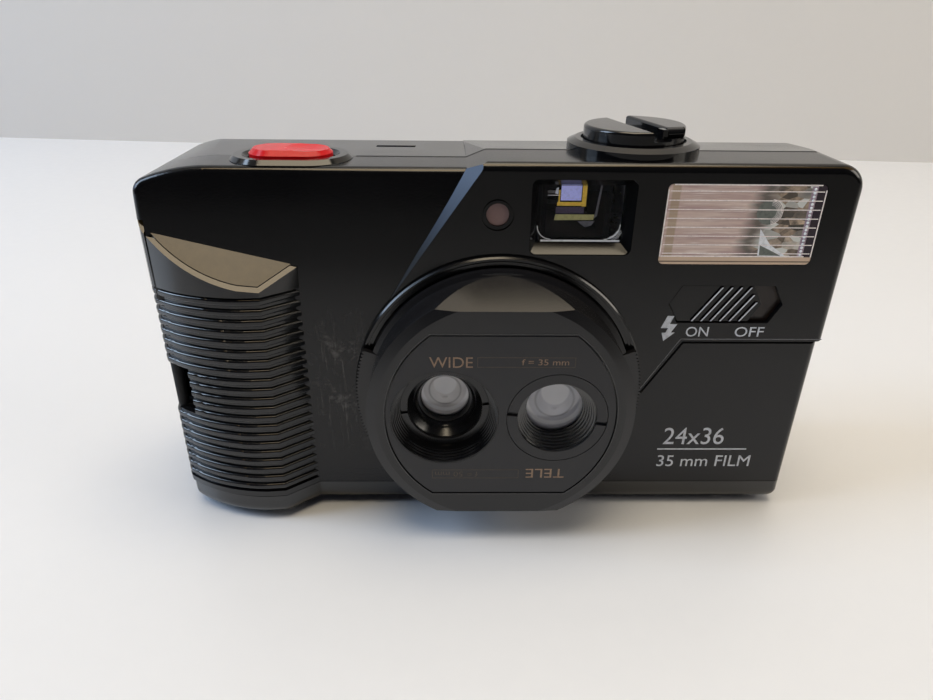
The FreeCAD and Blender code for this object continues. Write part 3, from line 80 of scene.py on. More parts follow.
class Tree:
    """Shorthand for one material's shader nodes."""

    def __init__(self, name):
        self.material = bpy.data.materials.new(name)
        self.material.use_nodes = True
        self.tree = self.material.node_tree
        self.shader = self.tree.nodes["Principled BSDF"]
        self.place = self.add("ShaderNodeTexCoord").outputs["Object"]

    def add(self, kind, sockets=None, **settings):
        """A new node, with its sockets set by name or number and its settings by keyword."""
        made = self.tree.nodes.new(kind)
        for name, value in settings.items():
            setattr(made, name, value)
        for name, value in (sockets or {}).items():
            self.feed(made.inputs[name], value)
        return made

    def feed(self, socket, value):
        if isinstance(value, bpy.types.NodeSocket):
            self.tree.links.new(value, socket)
        else:
            socket.default_value = value

    def set(self, **values):
        """Sets the shader's own sockets; an underscore stands for a space in a socket's name."""
        for name, value in values.items():
            self.feed(self.shader.inputs[name.replace("_", " ")], value)

    def noise(self, scale, detail=3.0, roughness=0.55, place=None):
        sockets = {"Vector": place or self.place, "Scale": scale, "Detail": detail, "Roughness": roughness}
        return self.add("ShaderNodeTexNoise", sockets).outputs["Fac"]

    def stretched(self, stretch):
        """The place with each axis scaled on its own, for streaks."""
        sockets = {"Vector": self.place, "Scale": stretch}
        return self.add("ShaderNodeMapping", sockets).outputs["Vector"]

    def span(self, value, low, high, to_low=0.0, to_high=1.0):
        sockets = {0: value, 1: low, 2: high, 3: to_low, 4: to_high}
        return self.add("ShaderNodeMapRange", sockets).outputs[0]

    def maths(self, operation, one, two=0.0):
        return self.add("ShaderNodeMath", {0: one, 1: two}, operation=operation).outputs[0]

    def axis(self, name):
        return self.add("ShaderNodeSeparateXYZ", {"Vector": self.place}).outputs[name]

    def blend(self, share, one, two):
        """Colour one where share is 0, colour two where it is 1."""
        mixed = self.add("ShaderNodeMix", data_type="RGBA")
        self.feed(mixed.inputs["Factor"], share)
        self.feed(mixed.inputs["A"], one)
        self.feed(mixed.inputs["B"], two)
        return mixed.outputs["Result"]

    def bump(self, height, distance, strength=1.0, normal=None):
        sockets = {"Height": height, "Distance": distance, "Strength": strength}
        if normal:
            sockets["Normal"] = normal
        return self.add("ShaderNodeBump", sockets).outputs["Normal"]

    def specks(self, cells, size, share):
        """A mask of small dust specks: cells per metre, size within a cell, share of cells hit."""
        cell = self.add("ShaderNodeTexVoronoi", {"Vector": self.place, "Scale": cells})
        small = self.maths("LESS_THAN", cell.outputs["Distance"], size)
        picked = self.maths("LESS_THAN", cell.outputs["Color"], share)
        return self.maths("MULTIPLY", small, picked)

    def window(self, axis, low, high, soft):
        """1 between two places along an axis, falling to 0 over the soft length."""
        along = self.axis(axis)
        rise = self.span(along, low, low + soft)
        fall = self.span(along, high - soft, high, 1.0, 0.0)
        return self.maths("MULTIPLY", rise, fall)


def grey(value):
    return (value, value, value, 1.0)


# ---------------------------------------------------------------- materials


def cool_black(value):
    """A black with a trace of blue."""
    return (value * 0.96, value * 0.96, value * 1.1, 1.0)


def black_plastic(name, tone=0.005, roughness=0.16, grain=0.008, grain_scale=2500.0, dust=0.012, shine=0.35):
    """Moulded black plastic: a fine grain, uneven gloss and a little dust."""
    tree = Tree(name)
    smear = tree.noise(60.0, 4.0)
    dusty = tree.specks(950.0, 0.085, dust)
    clean = tree.blend(smear, cool_black(tone * 0.8), cool_black(tone * 1.25))
    tree.set(Base_Color=tree.blend(dusty, clean, grey(0.42)))
    uneven = tree.span(smear, 0.3, 0.7, roughness * 0.85, roughness * 1.2)
    tree.set(Roughness=tree.maths("ADD", uneven, tree.maths("MULTIPLY", dusty, 0.4)))
    waves = tree.bump(tree.noise(45.0, 1.0), 0.00006)
    tree.set(Normal=tree.bump(tree.noise(grain_scale, 2.0), grain * MM, normal=waves))
    tree.shader.inputs["IOR"].default_value = 1.5
    tree.shader.inputs["Specular IOR Level"].default_value = shine
    return tree


def tinge(tree, share, colour):
    """Blends a colour into what the tree already shows."""
    shown = tree.shader.inputs["Base Color"].links[0].from_socket
    tree.set(Base_Color=tree.blend(share, shown, colour))


def scuffed_cover():
    """The front cover: black plastic, lightened towards the base by a painted reflection of the near table,
    with pale scuffs beside the grip and painted reflections on its two slanted facets.
    """
    tree = black_plastic("front_cover_black", tone=0.003, roughness=0.16, shine=0.36, dust=0.02)
    # painted reflection: the front cover grows lighter towards its base, as if it mirrored the near table
    painted_table_reflection = tree.span(tree.axis("Z"), 60 * MM, 8 * MM, 0.0, 0.6)
    tinge(tree, painted_table_reflection, cool_black(0.017))
    turret = middle("turret_drum")
    left = high_corner("grip_cover").x
    zone_x = tree.window("X", left, turret.x - 24 * MM, 4 * MM)
    zone_z = tree.window("Z", 14 * MM, 50 * MM, 14 * MM)
    blotch = tree.span(tree.noise(170.0, 8.0, 0.75), 0.53, 0.68)
    streak = tree.span(tree.noise(1.0, 6.0, 0.7, tree.stretched((1500, 100, 150))), 0.56, 0.7)
    marks = tree.maths("MULTIPLY", tree.maths("ADD", blotch, streak), 0.6)
    scuff = tree.maths("MULTIPLY", tree.maths("MULTIPLY", zone_x, zone_z), marks)
    tinge(tree, tree.maths("MULTIPLY", scuff, 0.75), (0.2, 0.19, 0.185, 1))
    paint_sky_reflection_on_block_facet(tree)
    paint_warm_reflection_on_grip_facet(tree)
    return tree


def facing(tree, way):
    """A mask of the flat face that looks the given way, a direction of length 1."""
    normal = tree.add("ShaderNodeTexCoord").outputs["Normal"]
    same = tree.add("ShaderNodeVectorMath", {0: normal, 1: way}, operation="DOT_PRODUCT").outputs["Value"]
    return tree.maths("GREATER_THAN", same, 0.985)


def paint_warm_reflection_on_grip_facet(tree):
    """The slanted facet above the grip, with a painted warm brown reflection of the light from above, clouded
    by noise.
    """
    facet = facing(tree, (0.154, -0.686, 0.711))
    cloud = tree.span(tree.noise(420.0, 5.0, 0.7), 0.3, 0.7)
    # painted reflection: a warm brown tint for the light from above, on the facet only
    tinge(tree, facet, tree.blend(cloud, (0.03, 0.017, 0.004, 1), (0.045, 0.027, 0.008, 1)))


def paint_sky_reflection_on_block_facet(tree):
    """The slanted facet of the raised block: satin, with a painted soft deep blue reflection of the window
    light, darker at its foot.
    """
    facet = facing(tree, (-0.62, -0.65, 0.44))
    height = tree.span(tree.axis("Z"), 58 * MM, 73 * MM)
    # painted reflection: a deep blue for the window light, darker towards the facet's foot
    tinge(tree, facet, tree.blend(height, (0.002, 0.003, 0.006, 1), (0.012, 0.03, 0.075, 1)))
    usual = tree.shader.inputs["Roughness"].links[0].from_socket
    satin = tree.span(height, 0.0, 1.0, 0.62, 0.4)
    mixed = tree.add("ShaderNodeMix", data_type="FLOAT")
    tree.feed(mixed.inputs["Factor"], facet)
    tree.feed(mixed.inputs["A"], usual)
    tree.feed(mixed.inputs["B"], satin)
    tree.set(Roughness=mixed.outputs["Result"])


def grip_black():
    """The grip: glossy, lightened towards its foot by a painted reflection of the near table."""
    tree = black_plastic("grip_black", tone=0.003, roughness=0.15, grain=0.004, dust=0.02, shine=0.56)
    # painted reflection: the grip grows lighter towards its foot, as if it mirrored the near table
    tinge(tree, tree.span(tree.axis("Z"), 50 * MM, 10 * MM, 0.0, 0.5), cool_black(0.014))
    paint_warm_reflection_on_grip_facet(tree)
    return tree


def turret_face():
    """Satin black, paler and less glossy than the turret's flank."""
    return black_plastic("turret_face", tone=0.021, roughness=0.36, grain=0.008, dust=0.03, shine=0.42)


def clear_plastic(name, colour, roughness=0.03):
    """Clear moulded plastic with a faint uneven film."""
    tree = Tree(name)
    tree.shader.inputs["Transmission Weight"].default_value = 1.0
    tree.shader.inputs["IOR"].default_value = 1.49
    tree.shader.inputs["Base Color"].default_value = colour
    film = tree.noise(500.0, 3.0)
    tree.set(Roughness=tree.span(film, 0.35, 0.75, roughness * 0.5, roughness * 1.8))
    tree.set(Normal=tree.bump(tree.noise(140.0, 1.0), 0.00003))
    return tree


def lens_glass(name, centre, radius, pale, deep):
    """Coated glass painted pale and clouded as a reflection of the room, crossed by painted curved
    reflections inside the lens.
    """
    tree = Tree(name)

    def ring(rise, inner, outer):
        """A soft ring round a point that lies above the lens's middle by rise, in lens radii."""
        spot = (centre.x, centre.y, centre.z + rise * radius)
        shifted = tree.add("ShaderNodeVectorMath", {0: tree.place, 1: spot}, operation="SUBTRACT")
        flat = tree.add("ShaderNodeVectorMath", {0: shifted.outputs[0], 1: (1, 0, 1)}, operation="MULTIPLY")
        reach = tree.add("ShaderNodeVectorMath", {0: flat.outputs[0]}, operation="LENGTH").outputs["Value"]
        soft = 0.07 * radius
        rise_in = tree.span(reach, inner * radius, inner * radius + soft)
        fall_out = tree.span(reach, outer * radius - soft, outer * radius, 1.0, 0.0)
        return tree.maths("MULTIPLY", rise_in, fall_out)

    # painted reflection: the glass is pale where it would mirror the bright room
    painted_room_reflection = tree.noise(230.0, 2.0, 0.4)
    tree.set(Base_Color=tree.blend(painted_room_reflection, deep, pale))
    light = tuple(min(1.0, 1.5 * c) for c in pale[:3]) + (1,)
    dark = tuple(0.55 * c for c in deep[:3]) + (1,)
    # painted reflections: two bright curved reflections and two dark rings
    tinge(tree, tree.maths("MULTIPLY", ring(0.55, -0.2, 0.5), 0.75), light)
    tinge(tree, tree.maths("MULTIPLY", ring(0.3, 0.85, 1.1), 0.85), light)
    tinge(tree, tree.maths("MULTIPLY", ring(0.25, 0.58, 0.7), 0.9), dark)
    tinge(tree, tree.maths("MULTIPLY", ring(0.0, 0.93, 1.2), 0.75), dark)
    film = tree.noise(700.0, 2.0)
    tree.set(Roughness=tree.span(film, 0.3, 0.7, 0.05, 0.16))
    tree.shader.inputs["IOR"].default_value = 1.6
    tree.shader.inputs["Transmission Weight"].default_value = 0.1
    tree.shader.inputs["Coat Weight"].default_value = 0.6
    tree.shader.inputs["Coat Roughness"].default_value = 0.03
    tree.shader.inputs["Coat Tint"].default_value = (0.95, 0.95, 1.0, 1)
    return tree


def front_lens(name, pale, deep):
    """The glass of one of the two front lenses, fitted to its node."""
    radius = (high_corner(name).x - low_corner(name).x) / 2
    return lens_glass(name + "_glass", middle(name), radius, pale, deep)


def thin_glass():
    """A clear front pane that hardly bends what lies behind it."""
    tree = clear_plastic("finder_pane", (0.93, 0.93, 1, 1), roughness=0.01)
    tree.shader.inputs["IOR"].default_value = 1.08
    tree.shader.inputs["Coat Weight"].default_value = 0.15
    return tree


def flash_window_painted_reflections():
    """The flash window: the pinkish light of the reflector behind the clear plastic, painted on as opaque
    colour.
    """
    tree = Tree("flash_window_painted_light")
    low = low_corner("flash_window")
    high = high_corner("flash_window")
    across = tree.span(tree.axis("X"), low.x, high.x)
    streaks = tree.noise(1.0, 4.0, 0.6, tree.stretched((60, 60, 900)))
    fine = tree.noise(1.0, 3.0, 0.6, tree.stretched((120, 100, 2600)))
    # The left part: a painted rose reflection, with level streaks.
    rose = tree.blend(tree.span(streaks, 0.35, 0.65), (0.5, 0.33, 0.32, 1), (0.8, 0.64, 0.57, 1))
    rose = tree.blend(tree.span(fine, 0.56, 0.7, 0.0, 0.7), rose, (0.95, 0.86, 0.82, 1))
    # The right part: painted reflections of flat facets, dark, warm and pale.
    facets = tree.add("ShaderNodeTexVoronoi", {"Vector": tree.stretched((420, 100, 800)), "Scale": 1.0})
    pick = tree.add("ShaderNodeSeparateColor", {"Color": facets.outputs["Color"]})
    cloud = tree.noise(520.0, 3.0)
    shade = tree.maths("MULTIPLY", pick.outputs[0], tree.span(cloud, 0.3, 0.7))
    warm = tree.blend(shade, (0.075, 0.065, 0.055, 1), (0.85, 0.64, 0.47, 1))
    mixed = tree.blend(tree.span(pick.outputs[1], 0.55, 0.85, 0.0, 0.85), warm, (0.86, 0.87, 0.84, 1))
    # A painted grey band, which leans a little, parts the two.
    bend = tree.maths("ADD", across, tree.span(tree.axis("Z"), low.z, high.z, 0.05, -0.05))
    soft = tree.maths("ADD", bend, tree.span(streaks, 0.3, 0.7, -0.03, 0.03))
    band = tree.maths("MULTIPLY", tree.span(soft, 0.5, 0.58), tree.span(soft, 0.6, 0.7, 1.0, 0.0))
    shown = tree.blend(tree.span(soft, 0.6, 0.66), rose, mixed)
    shown = tree.blend(tree.maths("MULTIPLY", band, 0.85), shown, (0.11, 0.11, 0.095, 1))
    # The ends: a painted olive line at the left and a dark one at the right.
    edge = tree.maths("MULTIPLY", tree.span(across, 0.02, 0.03), tree.span(across, 0.075, 0.085, 1.0, 0.0))
    shown = tree.blend(tree.maths("MULTIPLY", edge, 0.6), shown, (0.4, 0.3, 0.17, 1))
    shown = tree.blend(tree.span(across, 0.935, 0.94), shown, (0.03, 0.02, 0.03, 1))
    # The sloping foot, painted as a reflection, with painted shade in its crease.
    foot = tree.span(tree.axis("Z"), low.z + 1.55 * MM, low.z + 1.35 * MM)
    shown = tree.blend(foot, shown, (0.72, 0.54, 0.4, 1))
    painted_crease_shade = tree.window("Z", low.z + 0.4 * MM, low.z + 0.7 * MM, 0.05 * MM)
    shown = tree.blend(tree.maths("MULTIPLY", painted_crease_shade, 0.8), shown, (0.08, 0.05, 0.035, 1))
    tree.set(Base_Color=shown)
    tree.set(Roughness=tree.span(fine, 0.3, 0.7, 0.08, 0.2))
    tree.set(Normal=tree.bump(fine, 0.00005))
    return tree


def metal(name, colour, roughness):
    """Bare metal, finely brushed along X."""
    tree = Tree(name)
    tree.shader.inputs["Metallic"].default_value = 1.0
    brushed = tree.noise(1.0, 3.0, 0.6, tree.stretched((30, 900, 900)))
    darker = tuple(0.85 * c for c in colour[:3]) + (1,)
    tree.set(Base_Color=tree.blend(brushed, darker, colour))
    tree.set(Roughness=tree.span(brushed, 0.3, 0.7, roughness * 0.8, roughness * 1.25))
    tree.set(Normal=tree.bump(brushed, 0.000004))
    return tree


def print_ink(name, colour, metallic=0.0, glow=0.0):
    """Printed marks and bright films: uneven, with a painted glow where glow is over 0."""
    tree = Tree(name)
    tree.shader.inputs["Metallic"].default_value = metallic
    tree.shader.inputs["Emission Color"].default_value = colour
    tree.shader.inputs["Emission Strength"].default_value = glow
    worn = tree.noise(1800.0, 4.0, 0.6)
    faded = tuple(0.72 * c for c in colour[:3]) + (1,)
    tree.set(Base_Color=tree.blend(tree.span(worn, 0.45, 0.7), colour, faded))
    tree.set(Roughness=tree.span(worn, 0.3, 0.7, 0.4, 0.6))
    return tree


def red_button():
    """Bright red moulded plastic, glossy and slightly cloudy."""
    tree = Tree("button_red")
    cloud = tree.noise(160.0, 3.0)
    tree.set(Base_Color=tree.blend(cloud, (0.5, 0.002, 0.006, 1), (0.62, 0.005, 0.009, 1)))
    tree.set(Roughness=tree.span(cloud, 0.3, 0.7, 0.2, 0.28))
    tree.set(Normal=tree.bump(tree.noise(2200.0, 2.0), 0.00001))
    tree.shader.inputs["Specular IOR Level"].default_value = 0.22
    return tree


def plain(name, colour, roughness, grain_scale=1500.0, grain=0.01, deepest=0.85):
    """A moulded or painted finish with fine grain; its tone falls to a share of deepest."""
    tree = Tree(name)
    cloud = tree.noise(220.0, 3.0)
    darker = tuple(deepest * c for c in colour[:3]) + (1,)
    tree.set(Base_Color=tree.blend(cloud, darker, colour))
    tree.set(Roughness=tree.span(cloud, 0.3, 0.7, roughness * 0.85, min(1.0, roughness * 1.15)))
    tree.set(Normal=tree.bump(tree.noise(grain_scale, 2.0), grain * MM))
    return tree


finishes = {
    "cover": scuffed_cover(),
    "shell": black_plastic("shell_black", roughness=0.17, dust=0.01, shine=0.8),
    "grip": grip_black(),
    "turret": black_plastic("turret_black", tone=0.009, roughness=0.2, grain=0.004, dust=0.03, shine=0.5),
    "hood": black_plastic("hood_black", tone=0.003, roughness=0.14, grain=0.003, dust=0.01, shine=0.4),
    "face": turret_face(),
    "gloss": black_plastic("gloss_black", tone=0.004, roughness=0.11, grain=0.003, dust=0.01, shine=0.5),
    "barrel": black_plastic("barrel_black", tone=0.003, roughness=0.22, grain=0.002, dust=0.004, shine=1.0),
    "thread": black_plastic("thread_black", tone=0.002, roughness=0.12, grain=0.002, dust=0.004, shine=1.0),
    "ring": black_plastic("ring_black", tone=0.004, roughness=0.16, grain=0.003, dust=0.02, shine=0.5),
    "matte": black_plastic("matte_black", tone=0.01, roughness=0.6, grain=0.03, dust=0.01, shine=0.3),
    "velvet": black_plastic("velvet_black", tone=0.002, roughness=0.7, grain=0.03, dust=0.0, shine=0.1),
    "door": black_plastic("door_black", tone=0.01, roughness=0.4, grain=0.05, grain_scale=1300.0),
    "wide_lens": front_lens("wide_front_lens", (0.92, 0.895, 0.875, 1), (0.5, 0.48, 0.467, 1)),
    "tele_lens": front_lens("tele_front_lens", (0.83, 0.835, 0.88, 1), (0.46, 0.465, 0.5, 1)),
    "clear": clear_plastic("clear_plastic", (1, 1, 1, 1)),
    "pane": thin_glass(),
    # painted reflections: the flash window's finish
    "glow": flash_window_painted_reflections(),
    "sensor": plain("sensor_rose", (0.24, 0.15, 0.145, 1), 0.12),
    "steel": metal("steel", (0.6, 0.6, 0.62, 1), 0.3),
    "spring": metal("spring_steel", (0.5, 0.5, 0.52, 1), 0.35),
    "brass": metal("brass", (0.72, 0.55, 0.25, 1), 0.3),
    "mirror": metal("mirror_metal", (0.82, 0.8, 0.76, 1), 0.18),
    "red": red_button(),
    "dial": plain("dial_white", (0.75, 0.75, 0.72, 1), 0.5),
    "board": plain("circuit_board", (0.3, 0.17, 0.06, 1), 0.5),
    "sleeve": plain("capacitor_sleeve", (0.03, 0.05, 0.09, 1), 0.3),
    "casting": plain("die_cast_black", (0.03, 0.03, 0.03, 1), 0.6, 900.0, 0.05),
    "brown": plain("tray_brown", (0.022, 0.013, 0.01, 1), 0.35),
    "white_ink": print_ink("white_ink", (0.66, 0.69, 0.76, 1)),
    "gold_ink": print_ink("gold_ink", (0.3, 0.205, 0.14, 1), 0.4),
    "dim_gold_ink": print_ink("dim_gold_ink", (0.09, 0.07, 0.055, 1), 0.3),
    "black_ink": print_ink("black_ink", (0.002, 0.002, 0.002, 1)),
    # painted highlights and painted reflections: the marks below stand in for glints on ribs and edges and
    # for what shows in the finder and flash window; those with glow have a painted glow
    "rib_light": print_ink("rib_light", (0.9, 0.82, 0.8, 1), glow=0.12),
    "glint": print_ink("glint", (0.8, 0.82, 0.86, 1), glow=0.1),
    "soft_glint": print_ink("soft_glint", (0.16, 0.165, 0.18, 1)),
    "faint_glint": print_ink("faint_glint", (0.06, 0.06, 0.062, 1)),
    "lavender": print_ink("lavender", (0.4, 0.42, 0.75, 1), glow=0.38),
    "amber_frame": print_ink("amber_frame", (0.62, 0.4, 0.04, 1), glow=0.3),
    "olive": print_ink("olive", (0.36, 0.34, 0.13, 1), glow=0.2),
    "plum": print_ink("plum", (0.06, 0.045, 0.085, 1), glow=0.1),
    "mauve": print_ink("mauve", (0.4, 0.3, 0.38, 1)),
    "tube_grey": print_ink("tube_grey", (0.17, 0.19, 0.17, 1)),
}

finish_of = {
    "front_cover": "cover", "rear_body": "shell", "grip_cover": "grip", "base_cover": "shell",
    "tripod_bush": "brass", "battery_door": "shell", "feet": "matte", "film_door": "door",
    "door_hinge_pin": "steel", "pressure_plate": "matte", "pressure_spring": "spring",
    "chassis": "casting", "take_up_spool": "matte", "sprocket": "matte", "advance_wheel": "matte",
    "counter_dial": "dial", "counter_window": "clear", "turret_drum": "turret",
    "turret_face_plate": "face", "turret_retainer": "matte", "wide_hood": "gloss",
    "wide_spanner_ring": "turret", "wide_barrel": "barrel", "wide_front_lens": "wide_lens",
    "wide_rear_lens": "clear", "tele_spanner_ring": "face", "tele_barrel": "thread",
    "tele_front_lens": "tele_lens", "tele_rear_lens": "clear", "turret_mount_ring": "ring",
    "shutter_plate": "matte", "shutter_blade": "spring", "button_bezel": "gloss",
    "shutter_button": "red", "button_spring": "spring", "rewind_base": "gloss",
    "rewind_shaft": "steel", "rewind_knob": "gloss", "rewind_crank": "gloss",
    "door_latch": "steel", "finder_hood": "hood", "finder_front_lens": "pane",
    "finder_tunnel": "velvet", "finder_frame_mask": "velvet", "eyepiece_lens": "clear",
    "eyepiece_bezel": "matte", "flash_window": "glow", "flash_reflector": "mirror",
    "flash_tube": "clear", "flash_capacitor": "sleeve", "flash_board": "board",
    "flash_switch": "hood", "switch_tray": "brown", "sensor_window": "sensor",
    "sensor_cell": "brown", "battery_box": "matte", "battery_contacts": "steel",
    "strap_lug": "matte", "rewind_release_button": "matte", "base_screws": "steel",
}
for name, finish in finish_of.items():
    mesh = nodes[name].data
    mesh.materials.clear()
    mesh.materials.append(finishes[finish].material)


# ---------------------------------------------------------------- new pieces


def piece(name, mesh, finish, body):
    """A new object of the model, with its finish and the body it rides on."""
    made = bpy.data.objects.new(name, mesh)
    bpy.context.scene.collection.objects.link(made)
    mesh.materials.clear()
    mesh.materials.append(finishes[finish].material)
    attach(made, body)
    return made


def mesh_of(build):
    """A mesh made by a function that fills a bmesh."""
    mesh = bpy.data.meshes.new("mesh")
    shape = bmesh.new()
    build(shape)
    bmesh.ops.recalc_face_normals(shape, faces=shape.faces)
    shape.to_mesh(mesh)
    shape.free()
    return mesh


def add_slab(shape, corners, thickness):
    """A thin plate whose front outline is given; it is as thick as thickness towards +Y."""
    front = [shape.verts.new(c) for c in corners]
    back = [shape.verts.new(Vector(c) + Vector((0, thickness, 0))) for c in corners]
    shape.faces.new(front)
    shape.faces.new(list(reversed(back)))
    count = len(corners)
    for n in range(count):
        after = (n + 1) % count
        shape.faces.new((front[n], back[n], back[after], front[after]))


def add_bar(shape, low, high, y):
    """An upright flat bar between two corners given as x and z."""
    left, bottom = low
    right, top = high
    add_slab(shape, [(left, y, bottom), (right, y, bottom), (right, y, top), (left, y, top)], PRINT)


def lettering(name, words, height, width, spot, finish, body, turn=0.0):
    """Flat printed words on a front-facing surface, from their lower left corner at spot."""
    cap_height = 0.72  # the height of a capital letter as a share of the font's size
    curve = bpy.data.curves.new(name, "FONT")
    curve.body = words
    curve.size = height / cap_height
    curve.extrude = 0.012 * MM
    curve.resolution_u = 4
    holder = bpy.data.objects.new("holder", curve)
    bpy.context.scene.collection.objects.link(holder)
    bpy.context.view_layer.update()
    graph = bpy.context.evaluated_depsgraph_get()
    mesh = bpy.data.meshes.new_from_object(holder.evaluated_get(graph))
    bpy.data.objects.remove(holder)
    across = [v.co.x for v in mesh.vertices]
    stretch = width / (max(across) - min(across))
    settle = Matrix.Translation((-min(across), 0, 0))
    squeeze = Matrix.Diagonal((stretch, 1, 1, 1))
    upright = Matrix.Rotation(math.radians(90), 4, "X")
    roll = Matrix.Rotation(math.radians(turn), 4, "Y")
    mesh.transform(Matrix.Translation(spot) @ roll @ upright @ squeeze @ settle)
    return piece(name, mesh, finish, body)


def print_front():
    """The marks beside the flash switch and the film format at the lower right."""
    block = block_face()
    panel = block + 0.55 * MM  # the lower panel lies a step behind the block
    # Each row: name, words, letter height and width, lower left corner as x and z, in millimetres, and face.
    words = (
        ("print_on", "ON", 2.15, 4.45, (38.0, 42.13), block),
        ("print_off", "OFF", 2.15, 5.7, (47.66, 42.13), block),
        ("print_format", "24x36", 4.35, 13.0, (37.4, 16.12), panel),
        ("print_film", "35 mm FILM", 3.0, 20.3, (36.83, 10.3), panel),
    )
    for name, letters, height, width, (left, low), face in words:
        spot = (left * MM, face - PRINT, low * MM)
        lettering(name, letters, height * MM, width * MM, spot, "white_ink", "body")
    print_bolt(33.05 * MM, 41.2 * MM, block)

    def rule(shape):
        """The line between the two rows of the film format."""
        add_bar(shape, (36.44 * MM, 14.68 * MM), (55.79 * MM, 15.0 * MM), panel - LIFT)

    piece("print_rule", mesh_of(rule), "white_ink", "body")


def print_bolt(left, foot, face):
    """The flash symbol: a zigzag that ends in an arrow, in millimetres from its lower left."""
    outline = [
        (0.9, 5.3), (2.2, 5.3), (1.55, 3.55), (3.0, 3.55), (2.0, 1.75),
        (2.8, 1.75), (0.75, -0.1), (0.2, 1.7), (0.95, 1.7), (1.35, 2.7), (-0.1, 2.7),
    ]

    def build(shape):
        corners = [(left + a * MM, face - LIFT, foot + b * MM) for a, b in outline]
        add_slab(shape, corners, PRINT)

    piece("print_flash_symbol", mesh_of(build), "white_ink", "body")


def print_turret():
    """Gold words and thin outlined strips on the turret face, each the other's half turn."""
    centre_x = middle("turret_drum").x
    face = low_corner("turret_face_plate").y
    # Each row: name, words, letter height and width, corner as x from the turret's middle and z, ink, turn.
    words = (
        ("print_wide", "WIDE", 2.25, 7.9, (-13.4, 41.05), "gold_ink", 0),
        ("print_tele", "TELE", 2.25, 7.6, (12.9, 18.35), "gold_ink", 180),
        ("print_wide_length", "f = 35 mm", 1.25, 8.6, (3.4, 41.6), "gold_ink", 0),
        ("print_tele_length", "f = 50 mm", 1.25, 8.4, (-4.2, 17.7), "dim_gold_ink", 180),
    )
    for name, letters, height, width, (aside, low), ink, turn in words:
        spot = (centre_x + aside * MM, face - PRINT, low * MM)
        lettering(name, letters, height * MM, width * MM, spot, ink, "turret", turn)
    strips = (
        ("print_wide_strip", -4.7, 13.2, 41.1, 43.2),
        ("print_tele_strip", -13.2, 3.9, 16.1, 18.2),
    )
    for name, left, right, low, high in strips:
        outline = thin_frame(centre_x + left * MM, centre_x + right * MM, low * MM, high * MM, face)
        piece(name, mesh_of(outline), "dim_gold_ink", "turret")


def thin_frame(left, right, low, high, face):
    """Builds the thin outline of a rectangle on a face."""
    line = 0.13 * MM

    def build(shape):
        sides = (
            ((left, low), (right, low + line)),
            ((left, high - line), (right, high)),
            ((left, low), (left + line, high)),
            ((right - line, low), (right, high)),
        )
        for start, end in sides:
            add_bar(shape, start, end, face - LIFT)

    return build


def switch_lines():
    """White paint along the six slanted ribs of the flash switch; the last two end at its corner."""
    low = low_corner("flash_switch")
    front = low.y - LIFT
    first = low.x + 4.55 * MM
    gap = 1.85 * MM
    width = 0.3 * MM
    half = 3.5 * MM
    bottom = middle("switch_tray").z - half - 0.05 * MM

    def build(shape):
        for n in range(6):
            foot = first + gap * n
            reach = 1.0 if n < 4 else 1.0 - 0.22 * (n - 3)
            lean = 4.9 * MM * reach
            rise = 2 * half * reach
            corners = [
                (foot, front, bottom),
                (foot + width, front, bottom),
                (foot + width + lean, front, bottom + rise),
                (foot + lean, front, bottom + rise),
            ]
            add_slab(shape, corners, FILM)

    piece("switch_white_lines", mesh_of(build), "white_ink", "switch_slider")


def flat_piece(name, corners, y, finish):
    """A thin film on the body whose outline is given in millimetres as x and z."""

    def build(shape):
        add_slab(shape, [(a * MM, y, b * MM) for a, b in corners], FILM)

    return piece(name, mesh_of(build), finish, "body")


def oblong(left, low, right, high):
    return [(left, low), (right, low), (right, high), (left, high)]


def finder_depths():
    """Painted reflections of the frames and glints seen in the finder, on films close behind its front pane,
    most with a painted glow.
    """
    behind = high_corner("finder_front_lens").y + 0.05 * MM
    # Each row: name, outline, how far it lies behind the first film, finish.
    films = (
        ("finder_field", oblong(12.0, 68.1, 15.75, 70.8), 0.0, "lavender"),
        ("finder_frame_right", oblong(15.9, 67.0, 16.7, 70.8), 0.0, "amber_frame"),
        ("finder_frame_foot", oblong(11.4, 67.1, 16.7, 67.8), 0.04, "amber_frame"),
        ("finder_frame_left", oblong(11.6, 67.8, 11.85, 70.0), 0.0, "amber_frame"),
        ("finder_shade", oblong(11.2, 65.7, 16.4, 66.9), 0.0, "plum"),
        ("finder_sill", [(11.0, 64.4), (18.3, 64.5), (18.4, 65.5), (11.2, 65.5)], 0.0, "olive"),
        ("finder_glint_left", [(10.9, 69.4), (11.5, 69.2), (11.5, 70.5), (11.1, 70.3)], 0.0, "glint"),
        ("finder_glint_post", [(18.4, 64.8), (18.9, 65.2), (19.5, 70.8), (19.15, 70.8)], 0.04, "soft_glint"),
        ("finder_wedge", [(15.4, 64.2), (18.6, 64.3), (18.0, 63.4), (16.8, 63.1)], 0.0, "soft_glint"),
    )
    for name, corners, back, finish in films:
        flat_piece(name, corners, behind + back * MM, finish)


